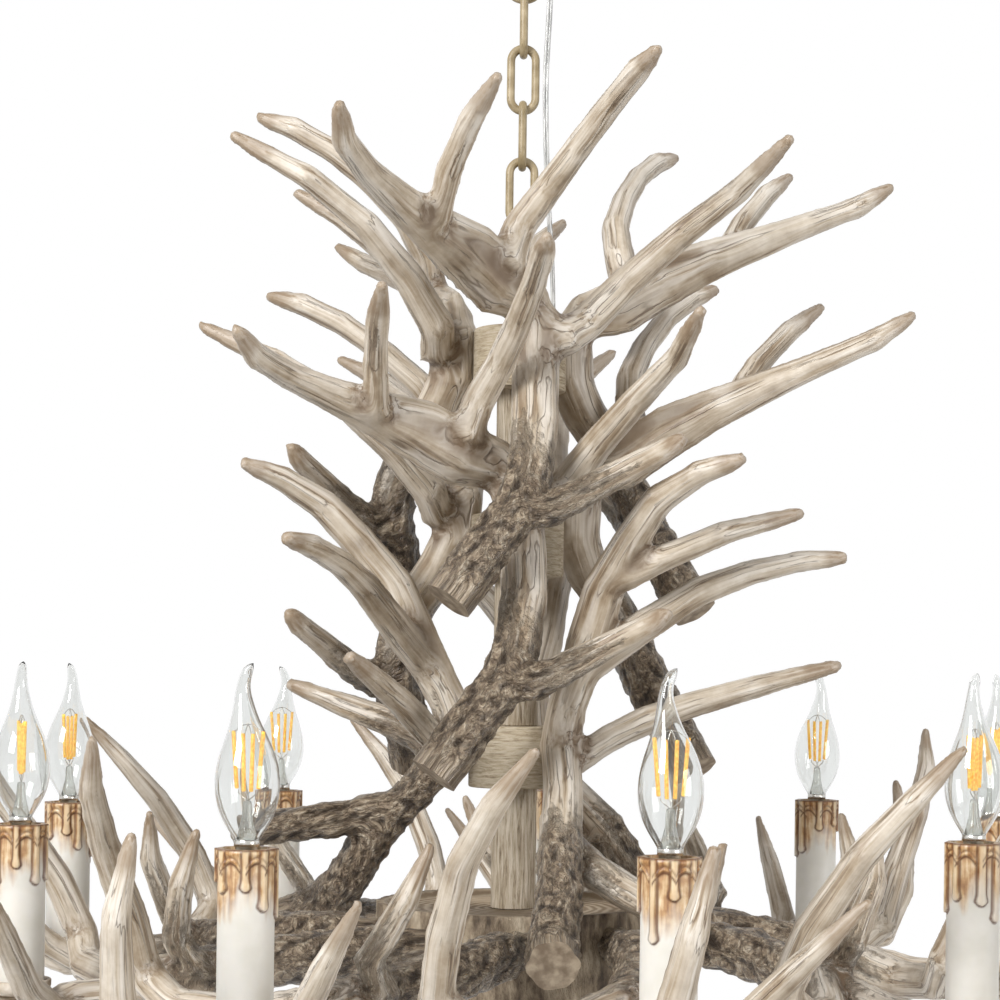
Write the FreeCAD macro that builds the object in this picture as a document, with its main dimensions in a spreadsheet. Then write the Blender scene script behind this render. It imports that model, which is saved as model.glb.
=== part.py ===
import FreeCAD, Part
import math
import os

# Antler chandelier: a ceiling canopy, five chain links, and below them a turned column with three
# tiers of three antlers and a hub that carries nine antler arms, each with one candle light.
# Millimetres. The origin is the ceiling, +Z is up, and the front of the object faces -Y.

doc = FreeCAD.newDocument("antler_chandelier")
sheet = doc.addObject("Spreadsheet::Sheet", "sizes")

SIZES = (
    # ceiling set
    ("canopy_radius", 62), ("canopy_height", 41), ("canopy_foot_radius", 23), ("canopy_wall", 1.5),
    ("bracket_length", 108), ("bracket_width", 20), ("bracket_thick", 3),
    ("slot_spacing", 84), ("slot_width", 5), ("slot_length", 15),
    ("nipple_radius", 5), ("nipple_clearance", 0.3), ("flange_radius", 11), ("flange_thick", 3),
    # chain
    ("link_long", 49), ("link_wide", 22), ("link_wire", 5.5), ("link_gap", 0.3),
    ("loop_radius", 12), ("loop_stem", 10), ("eye_stem", 15),
    # cord
    ("cord_width", 4),
    # column
    ("collar_radius", 31), ("collar_height", 41), ("tube_radius", 15), ("rod_radius", 5),
    ("upper_tube", 83), ("middle_tube", 100), ("lower_tube", 81), ("bore_clearance", 0.3),
    # hub
    ("hub_radius", 94), ("hub_height", 60), ("hub_recess_radius", 80), ("hub_recess", 4),
    ("hub_foot_radius", 62), ("hub_foot", 16), ("socket_depth", 40),
    # antlers
    ("seat_gap", 0.2), ("tier_drop", 108), ("crown_turn", 18), ("foot_turn", 4),
    # candles
    ("candle_ring", 329), ("first_candle", -25.6), ("candle_drop", 62),
    ("sleeve_radius", 15.25), ("sleeve_bore", 13), ("sleeve_height", 98),
    ("cup_radius", 19.5), ("cup_floor", 5), ("cup_rim", 4), ("holder_radius", 11.5),
    ("cap_radius", 8), ("cap_show", 4), ("cap_depth", 26), ("bulb_radius", 17.5), ("bulb_height", 97),
)
for row, (alias, value) in enumerate(SIZES, start=1):
    sheet.set("A%d" % row, alias)
    sheet.set("B%d" % row, str(value))
    sheet.setAlias("B%d" % row, alias)
doc.recompute()


def size(alias):
    return float(sheet.get(alias))


COPIES = 3
CANDLES = 9
LINKS = ("a", "b", "c", "d", "e")

# ---------------------------------------------------------------- heights that follow from the sizes
link_wire = size("link_wire")
link_step = link_wire + size("link_gap")
link_half = (size("link_long") - link_wire) / 2
loop_z = -(size("canopy_height") + size("loop_stem") + size("loop_radius"))
first_link_z = loop_z - size("loop_radius") + link_step - link_half
link_pitch = 2 * link_half - link_step
last_link_z = first_link_z - (len(LINKS) - 1) * link_pitch
eye_z = last_link_z - link_half + link_step - size("loop_radius")
column_top = eye_z - size("loop_radius") - size("eye_stem")
middle_collar_top = column_top - size("collar_height") - size("upper_tube")
lower_collar_top = middle_collar_top - size("collar_height") - size("middle_tube")
lower_tube_top = lower_collar_top - size("collar_height")
hub_floor = lower_tube_top - size("lower_tube")
hub_top = hub_floor + size("hub_recess")
hub_bottom = hub_top - size("hub_height")
sleeve_top = hub_floor + size("candle_drop")
sleeve_bottom = sleeve_top - size("sleeve_height")
cup_bottom = sleeve_bottom - size("cup_floor")

parts = []


def keep(obj, label):
    obj.Label = label
    parts.append(obj)
    return obj


def add(kind, name, **values):
    """A document object with plain values, or with expressions where the value is a text."""
    obj = doc.addObject(kind, name)
    for prop, value in values.items():
        if isinstance(value, str):
            obj.setExpression(prop, value)
        else:
            setattr(obj, prop, value)
    return obj


def at(obj, x, y, z, turn=0.0):
    obj.Placement = FreeCAD.Placement(FreeCAD.Vector(x, y, z),
                                      FreeCAD.Rotation(FreeCAD.Vector(0, 0, 1), turn))
    return obj


def prism(name, sides, radius, height, z=0.0, x=0.0, y=0.0, turn=0.0):
    """An upright round piece of a few flat sides."""
    return at(add("Part::Prism", name, Polygon=sides, Circumradius=radius, Height=height), x, y, z, turn)


def cut(name, base, *tools):
    for number, tool in enumerate(tools):
        last = number == len(tools) - 1
        base = add("Part::Cut", name if last else "%s_cut%d" % (name, number), Base=base, Tool=tool)
    return base


def fuse(name, *shapes):
    return add("Part::MultiFuse", name, Shapes=list(shapes))


def polar(angle, radius, height):
    """A point at an angle from the front, counted towards +X, and a radius from the column axis."""
    turn = math.radians(angle)
    return FreeCAD.Vector(radius * math.sin(turn), -radius * math.cos(turn), height)


# ---------------------------------------------------------------- lofts of few-sided sections
def section(centre, along, up, radius, sides, wide=1.0):
    """The corners of a polygon square to the path; wide stretches it across the up direction."""
    side = along.cross(up)
    side.normalize()
    top = side.cross(along)
    top.normalize()
    corners = []
    for corner in range(sides):
        angle = 2 * math.pi * (corner + 0.5) / sides
        across = side * (radius * wide * math.cos(angle))
        corners.append(centre + across + top * (radius * math.sin(angle)))
    return corners


def facet(*corners):
    return Part.Face(Part.makePolygon(list(corners) + [corners[0]]))


def loft(sections, closed=False):
    """A solid through sections of equal corner count, in flat facets, with flat ends."""
    count = len(sections)
    sides = len(sections[0])
    faces = []
    for number in range(count if closed else count - 1):
        lower = sections[number]
        upper = sections[(number + 1) % count]
        for corner in range(sides):
            after = (corner + 1) % sides
            faces.append(facet(lower[corner], lower[after], upper[after]))
            faces.append(facet(lower[corner], upper[after], upper[corner]))
    if not closed:
        faces.append(facet(*sections[0]))
        faces.append(facet(*sections[-1]))
    solid = Part.Solid(Part.Shell(faces))
    if solid.Volume < 0:
        solid.reverse()
    return solid


def rod(points, radii, sides, closed=False, up=None, widths=None):
    """A loft along a path; the up direction is carried from each section to the next."""
    count = len(points)
    sections = []
    for here in range(count):
        before = points[here - 1] if closed or here else points[here]
        after = points[(here + 1) % count] if closed or here < count - 1 else points[here]
        along = after - before
        along.normalize()
        up = up - along * up.dot(along)
        up.normalize()
        wide = widths[here] if widths else 1.0
        sections.append(section(points[here], along, up, radii[here], sides, wide))
    return loft(sections, closed)


X_AXIS = FreeCAD.Vector(1, 0, 0)
Y_AXIS = FreeCAD.Vector(0, 1, 0)


def turned(name, sides, profile):
    """An upright turned solid, as a loft through (radius, height) rings."""
    obj = doc.addObject("Part::Feature", name)
    rings = [section(FreeCAD.Vector(0, 0, z), FreeCAD.Vector(0, 0, 1), X_AXIS, radius, sides)
             for radius, z in profile]
    obj.Shape = loft(rings)
    return obj


# ---------------------------------------------------------------- ceiling set
bracket_z = -size("bracket_thick")
bar = add("Part::Box", "bracket_bar", Length="sizes.bracket_length", Width="sizes.bracket_width",
          Height="sizes.bracket_thick")
at(bar, -size("bracket_length") / 2, -size("bracket_width") / 2, bracket_z)
slots = []
for side in (-1, 1):
    middle = side * size("slot_spacing") / 2
    slot = add("Part::Box", "bracket_slot", Length="sizes.slot_length - sizes.slot_width",
               Width="sizes.slot_width", Height="sizes.bracket_thick * 3")
    half_run = (size("slot_length") - size("slot_width")) / 2
    slots.append(at(slot, middle - half_run, -size("slot_width") / 2, 2 * bracket_z))
    for end in (-half_run, half_run):
        slot_end = add("Part::Cylinder", "bracket_slot_end", Radius="sizes.slot_width / 2",
                       Height="sizes.bracket_thick * 3")
        slots.append(at(slot_end, middle + end, 0, 2 * bracket_z))
tapped = prism("bracket_tapping", 16, "sizes.nipple_radius + sizes.nipple_clearance",
               "sizes.bracket_thick * 3", 2 * bracket_z)
keep(cut("bracket", bar, fuse("bracket_slots", *slots), tapped), "ceiling_bracket")

CANOPY_SIDES = 20
canopy_bottom = -size("canopy_height")
wall = size("canopy_wall")
canopy_curve = ((0, 0), (0.38, 0.1), (0.72, 0.36), (0.93, 0.72), (1, 1))


def canopy_profile(inset):
    """The canopy's curve from its flat foot to its rim, moved inwards by a wall."""
    foot = size("canopy_foot_radius")
    reach = size("canopy_radius") - foot
    rise = size("canopy_height") - inset
    return [(foot + reach * out - inset, canopy_bottom + inset + rise * up) for out, up in canopy_curve]


shell = turned("canopy_outside", CANOPY_SIDES, canopy_profile(0))
hollow = turned("canopy_inside", CANOPY_SIDES, canopy_profile(wall))
nipple_hole = prism("canopy_nipple_hole", 16, "sizes.nipple_radius + sizes.nipple_clearance",
                    "sizes.canopy_wall * 4", canopy_bottom - wall)
cord_x = size("loop_radius") + (link_wire + size("cord_width")) / 2 + 1.5
cord_hole = prism("canopy_cord_hole", 12, "sizes.cord_width / 2 + sizes.nipple_clearance",
                  "sizes.canopy_wall * 4", canopy_bottom - wall, cord_x)
keep(cut("canopy", shell, hollow, nipple_hole, cord_hole), "canopy")


def ring(centre_z, radius, wire, sides=6, steps=14):
    """A round loop in the XZ plane."""
    points = []
    for step in range(steps):
        angle = 2 * math.pi * step / steps
        points.append(FreeCAD.Vector(radius * math.sin(angle), 0, centre_z + radius * math.cos(angle)))
    return rod(points, [wire / 2] * steps, sides, True, Y_AXIS)


def loop_on_stem(name, label, centre_z, stem_from, stem_to, stem_radius, extra=()):
    """A loop whose stem runs from one height to another, with any flanges fused on."""
    loop = doc.addObject("Part::Feature", name + "_ring")
    loop.Shape = ring(centre_z, size("loop_radius"), link_wire)
    stem = prism(name + "_stem", 12, stem_radius, abs(stem_to - stem_from), min(stem_from, stem_to))
    keep(fuse(name, loop, stem, *extra), label)


flange = prism("loop_flange", 16, "sizes.flange_radius", "sizes.flange_thick",
               canopy_bottom - size("flange_thick"))
loop_on_stem("canopy_hanger", "canopy_loop", loop_z, loop_z + size("loop_radius"), bracket_z / 6,
             "sizes.nipple_radius", (flange,))

# ---------------------------------------------------------------- chain
WIRE_SIDES = 6


def link_points(steps=5):
    """The wire's centre line of an oval link, in the XZ plane round the origin."""
    bend = (size("link_wide") - link_wire) / 2
    straight = link_half - bend
    points = []
    for end in (1, -1):
        for step in range(steps + 1):
            angle = math.pi * step / steps
            points.append(FreeCAD.Vector(end * bend * math.cos(angle), 0,
                                         end * (straight + bend * math.sin(angle))))
    return points


for number, letter in enumerate(LINKS):
    link = doc.addObject("Part::Feature", "link_" + letter)
    centre_line = link_points()
    link.Shape = rod(centre_line, [link_wire / 2] * len(centre_line), WIRE_SIDES, True, Y_AXIS)
    edge_on = number % 2 == 0
    at(link, 0, 0, first_link_z - number * link_pitch, 90 if edge_on else 0)
    keep(link, "chain_link_" + letter)

# ---------------------------------------------------------------- supply cord beside the chain
CORD_LEAN = ((0, 0), (-1, -2), (-3.5, -1), (-2.5, -3), (-0.5, 0), (3.5, 1), (4, 0.5))
CORD_END = 4


def cord_path():
    """Straight runs joined by tangent arcs, from the canopy to the top collar."""
    top = canopy_bottom + wall
    drop = (top - column_top + CORD_END) / (len(CORD_LEAN) - 1)
    points = []
    for number, (right, back) in enumerate(CORD_LEAN):
        points.append(FreeCAD.Vector(cord_x + right, back, top - number * drop))
    edges = []
    start = points[0]
    for before, corner, after in zip(points, points[1:], points[2:]):
        inward = (corner - before).normalize()
        outward = (after - corner).normalize()
        turn = inward.getAngle(outward)
        trim = 0.45 * min((corner - before).Length, (after - corner).Length)
        bend_radius = trim / math.tan(turn / 2)
        enter = corner - inward * trim
        leave = corner + outward * trim
        halfway = (outward - inward).normalize()
        middle = corner + halfway * (bend_radius / math.cos(turn / 2) - bend_radius)
        edges.append(Part.LineSegment(start, enter).toShape())
        edges.append(Part.Arc(enter, middle, leave).toShape())
        print("cord bend radius %.0f" % bend_radius)
        start = leave
    edges.append(Part.LineSegment(start, points[-1]).toShape())
    return Part.Wire(edges)


CORD_SIDES = 6
cord_wire = cord_path()
cord_start = cord_wire.Edges[0]
start_point = cord_start.valueAt(cord_start.FirstParameter)
start_along = cord_start.tangentAt(cord_start.FirstParameter)
cord_ring = section(start_point, start_along, Y_AXIS, size("cord_width") / 2, CORD_SIDES)
cord = doc.addObject("Part::Feature", "cord")
cord.Shape = cord_wire.makePipeShell([Part.makePolygon(cord_ring + cord_ring[:1])], True, False)
keep(cord, "supply_cord")

# ---------------------------------------------------------------- column
rod_bottom = hub_floor - size("socket_depth")
rod_bore = "sizes.rod_radius + sizes.bore_clearance"
loop_on_stem("eye_rod_piece", "eye_rod", eye_z, eye_z - size("loop_radius"), rod_bottom,
             "sizes.rod_radius")


COLUMN_SIDES = 20


def spindle(name, label, top, *stages, holes=()):
    """Turned stages one under another on one bore; each stage is (radius, height) by name."""
    pieces = []
    z = top
    for number, (radius, height) in enumerate(stages):
        z -= size(height)
        pieces.append(prism("%s_stage%d" % (name, number), COLUMN_SIDES, "sizes." + radius,
                            "sizes." + height, z))
    body = fuse(name + "_body", *pieces) if len(pieces) > 1 else pieces[0]
    bore = prism(name + "_bore", 12, rod_bore, top - z + 2, z - 1)
    keep(cut(name, body, bore, *holes), label)


cord_right, cord_back = CORD_LEAN[-1]
cord_socket = prism("cord_socket", 12, "sizes.cord_width / 2 + sizes.nipple_clearance + 0.2",
                    CORD_END * 3, column_top - 2 * CORD_END, cord_x + cord_right, cord_back)
spindle("top_spindle", "upper_spindle", column_top,
        ("collar_radius", "collar_height"), ("tube_radius", "upper_tube"), holes=(cord_socket,))
spindle("mid_spindle", "middle_spindle", middle_collar_top,
        ("collar_radius", "collar_height"), ("tube_radius", "middle_tube"))
spindle("low_collar", "lower_collar", lower_collar_top, ("collar_radius", "collar_height"))
spindle("low_tube", "lower_tube", lower_tube_top, ("tube_radius", "lower_tube"))

# ---------------------------------------------------------------- hub
HUB_SIDES = 30
hub_disc = prism("hub_disc", HUB_SIDES, "sizes.hub_radius", "sizes.hub_height", hub_bottom)
foot_radius = size("hub_foot_radius")
hub_foot = turned("hub_foot_boss", 18, ((foot_radius * 0.3, hub_bottom - size("hub_foot")),
                                        (foot_radius * 0.75, hub_bottom - size("hub_foot") * 0.7),
                                        (foot_radius, hub_bottom)))
hub_dish = prism("hub_dish", HUB_SIDES, "sizes.hub_recess_radius", "sizes.hub_recess * 2", hub_floor)
hub_socket = prism("hub_socket", 12, rod_bore, "sizes.socket_depth + 2", rod_bottom)
keep(cut("hub_piece", fuse("hub_blank", hub_disc, hub_foot), hub_dish, hub_socket), "hub")

# ---------------------------------------------------------------- antlers
# A casting is a set of limbs. A limb is a run of (angle, radius, height, thickness): the angle from
# the front and the radius from the column axis, the height over the casting's own datum, and the
# radius of the limb there. A fifth value makes a palm that many times as wide as it is thick. Each
# limb after the first starts inside the one that it grows from.
TREE_SIDES = 6
TINE_SIDES = 5

CROWN = {
    "beam": ((-20, 123, -186, 17.5), (-14, 113, -165, 18), (-6, 105, -141, 17.5), (1, 101, -124, 17.5),
             (4.6, 94, -102, 16.5), (7.4, 78, -75, 16.5), (10, 58, -50, 17), (12.4, 48, -31, 17.5),
             (13.4, 47, -8, 18), (14.3, 46, 5, 17)),
    "palm": ((13, 46, 0, 15), (2, 52, 13, 15, 1.3), (-10.5, 73, 20, 14, 1.7), (-19, 99, 35, 13, 1.8),
             (-24.5, 133, 46.5, 11.5, 1.5), (-26, 168, 57, 10.5, 1.2), (-26.4, 202, 67.5, 9.5),
             (-25.4, 233, 78.5, 8), (-23.1, 258, 93, 2.5)),
    "right_tine": ((16, 46, -8, 14), (32, 56, -12, 14.5), (49, 58, 0, 13.5), (59, 81, 27, 12),
                   (63, 115, 57, 10.5), (62, 154, 82, 8.5), (55.7, 198, 107, 2.5)),
    "middle_tine": ((-7, 80, 28, 13), (-1, 76, 54, 12), (11.4, 83, 78, 11), (19.7, 103, 101, 10),
                    (24, 129, 122, 9), (25.5, 157, 137, 8), (25.5, 182, 145, 2.5)),
    "left_tine": ((-22, 138, 46, 9.5), (-16, 157, 74, 9), (-9.5, 181, 98, 7.5), (-4, 208, 116, 2.5)),
    "brow_tine": ((-3, 99, -132, 13), (11.6, 108, -127, 13), (20.6, 118, -117, 11.5),
                  (32, 133, -101, 9.5), (38.2, 145, -91, 7.5), (41.9, 153, -83, 3)),
}
SWEEP = {
    "beam": ((8.3, 168, -118, 17.5), (10, 140, -108, 18), (14, 117, -84, 16.5), (18, 95, -52, 15.5),
             (30, 63, -20, 14),
             (44, 42.5, 8, 14.5), (48, 45.5, 34, 14), (46, 59, 60, 14.5), (44, 68, 78, 15.5),
             (43, 83, 112, 14.5), (42.3, 108, 142, 12.5), (42, 131, 165, 11), (45, 160, 181, 8.5),
             (47.7, 186, 189, 3)),
    "long_tine": ((47, 62, 60, 13), (60, 92, 86, 12.5), (69.7, 127, 111, 11), (75, 156, 123, 9.5),
                  (78.8, 190, 131, 7.5), (80.9, 218, 134, 3)),
    "upper_tine": ((44, 96, 116, 10), (50, 120, 130, 10), (60, 151, 146, 8.5), (71.8, 192, 161, 3)),
    "brow_tine": ((50, 46, -4, 11), (66.6, 68, 14, 10.5), (75, 90, 26, 11), (83, 120, 37, 10),
                  (89, 162, 49, 8.5), (93.9, 220, 64, 3)),
    "spur": ((24, 76, -52, 13), (33, 98, -70, 13.5), (40, 114, -82, 13), (46, 130, -92, 12)),
}
LEFT_SPURS = {
    "spur": ((25, 72, -30, 13), (22, 112, -43, 14), (27, 146, -47, 14), (31, 188, -53, 12.5)),
    "flat_tine": ((43, 48, 2, 12), (23, 84, 21, 11.5), (22.7, 120, 34, 9), (22.5, 156, 47, 3)),
}
ARM = {
    "beam": ((34, 86, 17, 13), (27, 106.5, 17, 14), (21, 128, 16, 17.5), (14.7, 165, 12, 18), (3, 222, 3, 16),
             (-9, 260, -9, 13.5), (-18, 281, -4, 12.5), (-22.5, 287, 14, 12), (-21.3, 302, 50, 11),
             (-19, 328, 92, 9.5), (-16, 350, 124, 7.5), (-12.6, 367, 153, 2.5)),
    "outer_beam": ((6, 216, 3, 15), (1.5, 272, -12, 14), (-1, 328, -17, 13.5), (-4, 382, -10, 12),
                   (-3.6, 408, 22, 11), (-2.5, 420, 66, 9), (-1.1, 421, 109, 3)),
    "outer_tine": ((1.5, 308, -20, 11.5), (5.5, 332, 0, 10.5), (10, 357, 38, 8.5), (14.2, 384, 76, 2.5)),
    "inner_tine": ((7, 226, 3, 11.5), (6, 240, 26, 10.5), (11.5, 247, 62, 8.5), (14.9, 245, 95, 2.5)),
}


def antler(casting, turn, datum, moved_out, twist=None, hang=(0, 0, 0)):
    """One casting as a solid: its limbs fused, turned to its place and set at its height.

    What stands further out than the seat, above the foot, is turned, raised and spread by hang."""
    solid = None
    swing, raised, spread = hang
    for limb in casting.values():
        points = []
        for angle, radius, height, *_ in limb:
            lean = twist(height) if twist else 0
            share = min(max((height - HANG_FROM) / -HANG_FROM, 0), 1)
            beyond = share * max(radius - SEAT_REACH, 0)
            lean += share * swing * min(beyond / 40, 1)
            points.append(polar(angle + turn + lean, radius + moved_out + beyond * spread,
                                datum + height + beyond * raised))
        thick = [point[3] for point in limb]
        widths = [point[4] if len(point) > 4 else 1 for point in limb]
        outward = FreeCAD.Vector(points[0].x, points[0].y, 0)
        sides = TREE_SIDES if solid is None else TINE_SIDES
        piece = rod(points, thick, sides, up=outward, widths=widths)
        solid = solid.fuse(piece) if solid else piece
    return solid


SEAT_REACH = 52
HANG_FROM = -60


def seat_cut(sides, radius, z, height, x=0.0, y=0.0):
    """A few-sided round block that clears a seat; its sides lie on those of the piece seated."""
    corner = FreeCAD.Vector(radius, 0, 0)
    corners = []
    for number in range(sides + 1):
        turn = FreeCAD.Rotation(FreeCAD.Vector(0, 0, 1), 360.0 * number / sides)
        corners.append(turn.multVec(corner) + FreeCAD.Vector(x, y, z))
    return Part.Face(Part.makePolygon(corners)).extrude(FreeCAD.Vector(0, 0, height))


collar_cut = size("collar_radius") + size("seat_gap")
collars = [seat_cut(COLUMN_SIDES, collar_cut, top - size("collar_height") - 1, size("collar_height") + 2)
           for top in (column_top, middle_collar_top, lower_collar_top)]
grow = size("collar_radius") - 31
TWIST_FOOT = -60
TWIST_CROWN = 10


def second_twist(height):
    """The second tier's crown is turned further than its foot."""
    share = min(max((height - TWIST_FOOT) / (TWIST_CROWN - TWIST_FOOT), 0), 1)
    return -size("foot_turn") - share * (size("crown_turn") - size("foot_turn"))


def place_antler(label, solid):
    obj = doc.addObject("Part::Feature", label + "_casting")
    obj.Shape = solid
    keep(obj, label)


SIDES = (
    # name, and how the upper and the second casting there are set: degrees turned, raised, spread
    ("front", (0, -0.028, 0.021), (-2.4, -0.067, -0.071)),
    ("right", (-5.4, 0.036, -0.046), (1.5, 0.104, 0.009)),
    ("left", (-3.8, 0.021, 0.006), (-0.5, -0.019, 0.095)),
)
for copy, (side, upper_hang, second_hang) in enumerate(SIDES):
    around = copy * 360 / COPIES
    crown = antler(CROWN, around, column_top, grow, hang=upper_hang)
    place_antler("upper_antler_" + side, crown.cut(collars[0]))
    second = antler(CROWN, around, column_top - size("tier_drop"), grow, second_twist, second_hang)
    place_antler("middle_antler_" + side, second.cut(collars[1]))
    casting = dict(SWEEP)
    if side == "left":
        del casting["upper_tine"]
        casting.update(LEFT_SPURS)
    sweep = antler(casting, around, lower_collar_top - size("collar_height") / 2, grow)
    place_antler("lower_antler_" + side, sweep.cut(collars[2]))

# ---------------------------------------------------------------- arms and candles
hub_skin = seat_cut(HUB_SIDES, size("hub_radius") + size("seat_gap"), hub_bottom - 1,
                    size("hub_height") + 2)
hub_grow = size("hub_radius") - 94
arm_datum = cup_bottom + 7.5
CUP_SIDES = 10
HOLDER_SIDES = 8
BULB_SIDES = 8


def bulb_shape():
    """A clear flame bulb with its cap; the glass ends in a tip that leans to one side."""
    glass = ((0, 0.42, 0), (0.09, 0.62, 0), (0.21, 0.93, 0), (0.34, 1.0, 0), (0.5, 0.8, 0),
             (0.64, 0.43, 0.3), (0.8, 0.22, 1.6), (1.0, 0.1, 6.5))
    points = [FreeCAD.Vector(lean, 0, size("bulb_height") * share) for share, _, lean in glass]
    radii = [size("bulb_radius") * wide for _, wide, _ in glass]
    cap_length = size("cap_depth") + size("cap_show")
    return rod(points, radii, BULB_SIDES, up=Y_AXIS).fuse(
        seat_cut(BULB_SIDES, size("cap_radius"), -cap_length, cap_length))


bulb_z = sleeve_top + size("cap_show")
for number in range(CANDLES):
    turn = size("first_candle") + number * 360 / CANDLES
    spot = polar(turn, size("candle_ring"), 0)
    tag = "_%d" % (number + 1)
    arm = antler(ARM, turn, arm_datum, hub_grow)
    pad = seat_cut(CUP_SIDES, size("cup_radius") + 4, cup_bottom, 26, spot.x, spot.y)
    place_antler("arm_antler" + tag, arm.cut(hub_skin).cut(pad))

    cup = prism("cup" + tag, CUP_SIDES, "sizes.cup_radius", "sizes.cup_floor + sizes.cup_rim",
                cup_bottom, spot.x, spot.y)
    seat = prism("cup_seat" + tag, CUP_SIDES, "sizes.sleeve_radius + 0.4", "sizes.cup_rim * 2",
                 sleeve_bottom, spot.x, spot.y)
    holder = prism("holder" + tag, HOLDER_SIDES, "sizes.holder_radius", "sizes.sleeve_height - 2",
                   sleeve_bottom - 1, spot.x, spot.y)
    mouth = prism("holder_mouth" + tag, BULB_SIDES, "sizes.cap_radius + 0.3", "sizes.cap_depth + 4",
                  sleeve_top - size("cap_depth"), spot.x, spot.y, turn)
    dished = cut("dished_cup" + tag, cup, seat)
    keep(cut("holder_piece" + tag, fuse("holder_blank" + tag, dished, holder), mouth),
         "lamp_holder" + tag)

    outside = prism("sleeve_wall" + tag, CUP_SIDES, "sizes.sleeve_radius", "sizes.sleeve_height",
                    sleeve_bottom, spot.x, spot.y)
    inside = prism("sleeve_hole" + tag, CUP_SIDES, "sizes.sleeve_bore", "sizes.sleeve_height + 2",
                   sleeve_bottom - 1, spot.x, spot.y)
    keep(cut("sleeve" + tag, outside, inside), "candle_sleeve" + tag)

    bulb = doc.addObject("Part::Feature", "bulb_blank" + tag)
    bulb.Shape = bulb_shape()
    at(bulb, spot.x, spot.y, bulb_z, turn)
    keep(bulb, "bulb" + tag)

# ---------------------------------------------------------------- check and write
doc.recompute()
for obj in doc.Objects:
    if "Invalid" in obj.State or "Error" in obj.State:
        raise RuntimeError("%s did not build" % obj.Name)
for obj in parts:
    if obj.Shape.isNull() or not obj.Shape.isValid():
        raise RuntimeError("%s has no valid shape" % obj.Label)

os.makedirs("parts", exist_ok=True)
for obj in parts:
    obj.Shape.exportStep("parts/%s.step" % obj.Label)
print("%d pieces" % len(parts))
print("column top %.1f, hub top %.1f, sleeve top %.1f, cup bottom %.1f"
      % (column_top, hub_top, sleeve_top, cup_bottom))
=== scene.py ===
# %% [markdown]
# # An antler chandelier, dressed for the camera
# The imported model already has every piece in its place: a canopy, five chain links, a turned column with
# three tiers of antlers, a hub, and nine arms that each carry a candle light. Its solids are cut in flat
# facets. This script keeps their places and gives each piece the form and the finish of the real one.

# %% Load the frame and note its box
import math
import bmesh
import bpy
import numpy as np
from mathutils import Matrix, Vector


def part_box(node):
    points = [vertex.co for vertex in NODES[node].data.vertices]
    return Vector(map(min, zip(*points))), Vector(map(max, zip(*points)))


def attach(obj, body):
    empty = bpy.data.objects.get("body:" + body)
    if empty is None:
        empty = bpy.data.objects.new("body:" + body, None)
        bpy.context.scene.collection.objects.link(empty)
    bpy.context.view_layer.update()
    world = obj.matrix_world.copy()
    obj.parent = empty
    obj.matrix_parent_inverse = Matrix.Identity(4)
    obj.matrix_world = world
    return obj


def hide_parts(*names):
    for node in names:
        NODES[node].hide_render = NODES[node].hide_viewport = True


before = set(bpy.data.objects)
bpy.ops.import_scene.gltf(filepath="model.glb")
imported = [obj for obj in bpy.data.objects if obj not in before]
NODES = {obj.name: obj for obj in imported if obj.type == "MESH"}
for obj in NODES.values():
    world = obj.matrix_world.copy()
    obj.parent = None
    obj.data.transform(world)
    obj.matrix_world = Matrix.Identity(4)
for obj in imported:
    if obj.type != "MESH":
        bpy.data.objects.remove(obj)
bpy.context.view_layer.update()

ROOT_BODY = "ceiling"
LAMP_BODY = "chandelier"
MM = 0.001

# %% [markdown]
# ## The camera
# The photograph was solved from the ring of nine candles: the lens stands 1.443 m in front of the column's
# axis, 0.528 m below the ceiling, level, and rolled by less than a degree. The picture shows the part of the
# view above the horizon, so the lens is shifted upwards instead of tilted, which keeps uprights upright.

# %% Camera at the photograph's place
PICTURE = 1000
FOCAL_PX = 2152
CENTRE_PX = (515.8, 675.5)
SENSOR = 36.0

lens = bpy.data.cameras.new("camera")
lens.sensor_width = SENSOR
lens.lens = FOCAL_PX / PICTURE * SENSOR
lens.shift_x = (PICTURE / 2 - CENTRE_PX[0]) / PICTURE
lens.shift_y = -(PICTURE / 2 - CENTRE_PX[1]) / PICTURE
lens.clip_start = 0.05
camera = bpy.data.objects.new("camera", lens)
bpy.context.scene.collection.objects.link(camera)
camera.location = (0, -1.443, -0.528)
ROLL = math.radians(-0.72)
camera.rotation_euler = (math.radians(90), ROLL, 0)
bpy.context.scene.camera = camera
print("lens %.1f mm, shift %.3f %.3f" % (lens.lens, lens.shift_x, lens.shift_y))

# %% [markdown]
# ## Colours and nodes
# A colour picked from a screen is sRGB, and a shader wants linear light, so one function turns the hex value.
# A second function adds any node with its settings and its links, which keeps each material short.

# %% Helpers for materials
def ink(code, alpha=1.0):
    """An sRGB hex colour as linear RGBA."""
    channels = [int(code[i:i + 2], 16) / 255 for i in (1, 3, 5)]
    linear = [c / 12.92 if c <= 0.04045 else ((c + 0.055) / 1.055) ** 2.4 for c in channels]
    return (*linear, alpha)


def feed(tree, node, links):
    """Values and links for a node's inputs; a node given as a value feeds through its first output in use."""
    for key, value in links.items():
        if isinstance(value, bpy.types.Node):
            value = next(socket for socket in value.outputs if socket.enabled)
        if isinstance(value, bpy.types.NodeSocket):
            tree.links.new(value, node.inputs[key])
        else:
            node.inputs[key].default_value = value


def add_node(tree, kind, links=None, stops=(), **settings):
    """A node with its settings and what feeds its inputs; stops are (position, hex) colours on a ramp."""
    made = tree.nodes.new("ShaderNode" + kind)
    for name, value in settings.items():
        setattr(made, name, value)
    for number, (place, code) in enumerate(stops):
        band = made.color_ramp.elements
        element = band[number] if number < len(band) else band.new(1.0)
        element.position, element.color = place, ink(code)
    feed(tree, made, links or {})
    return made


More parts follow.
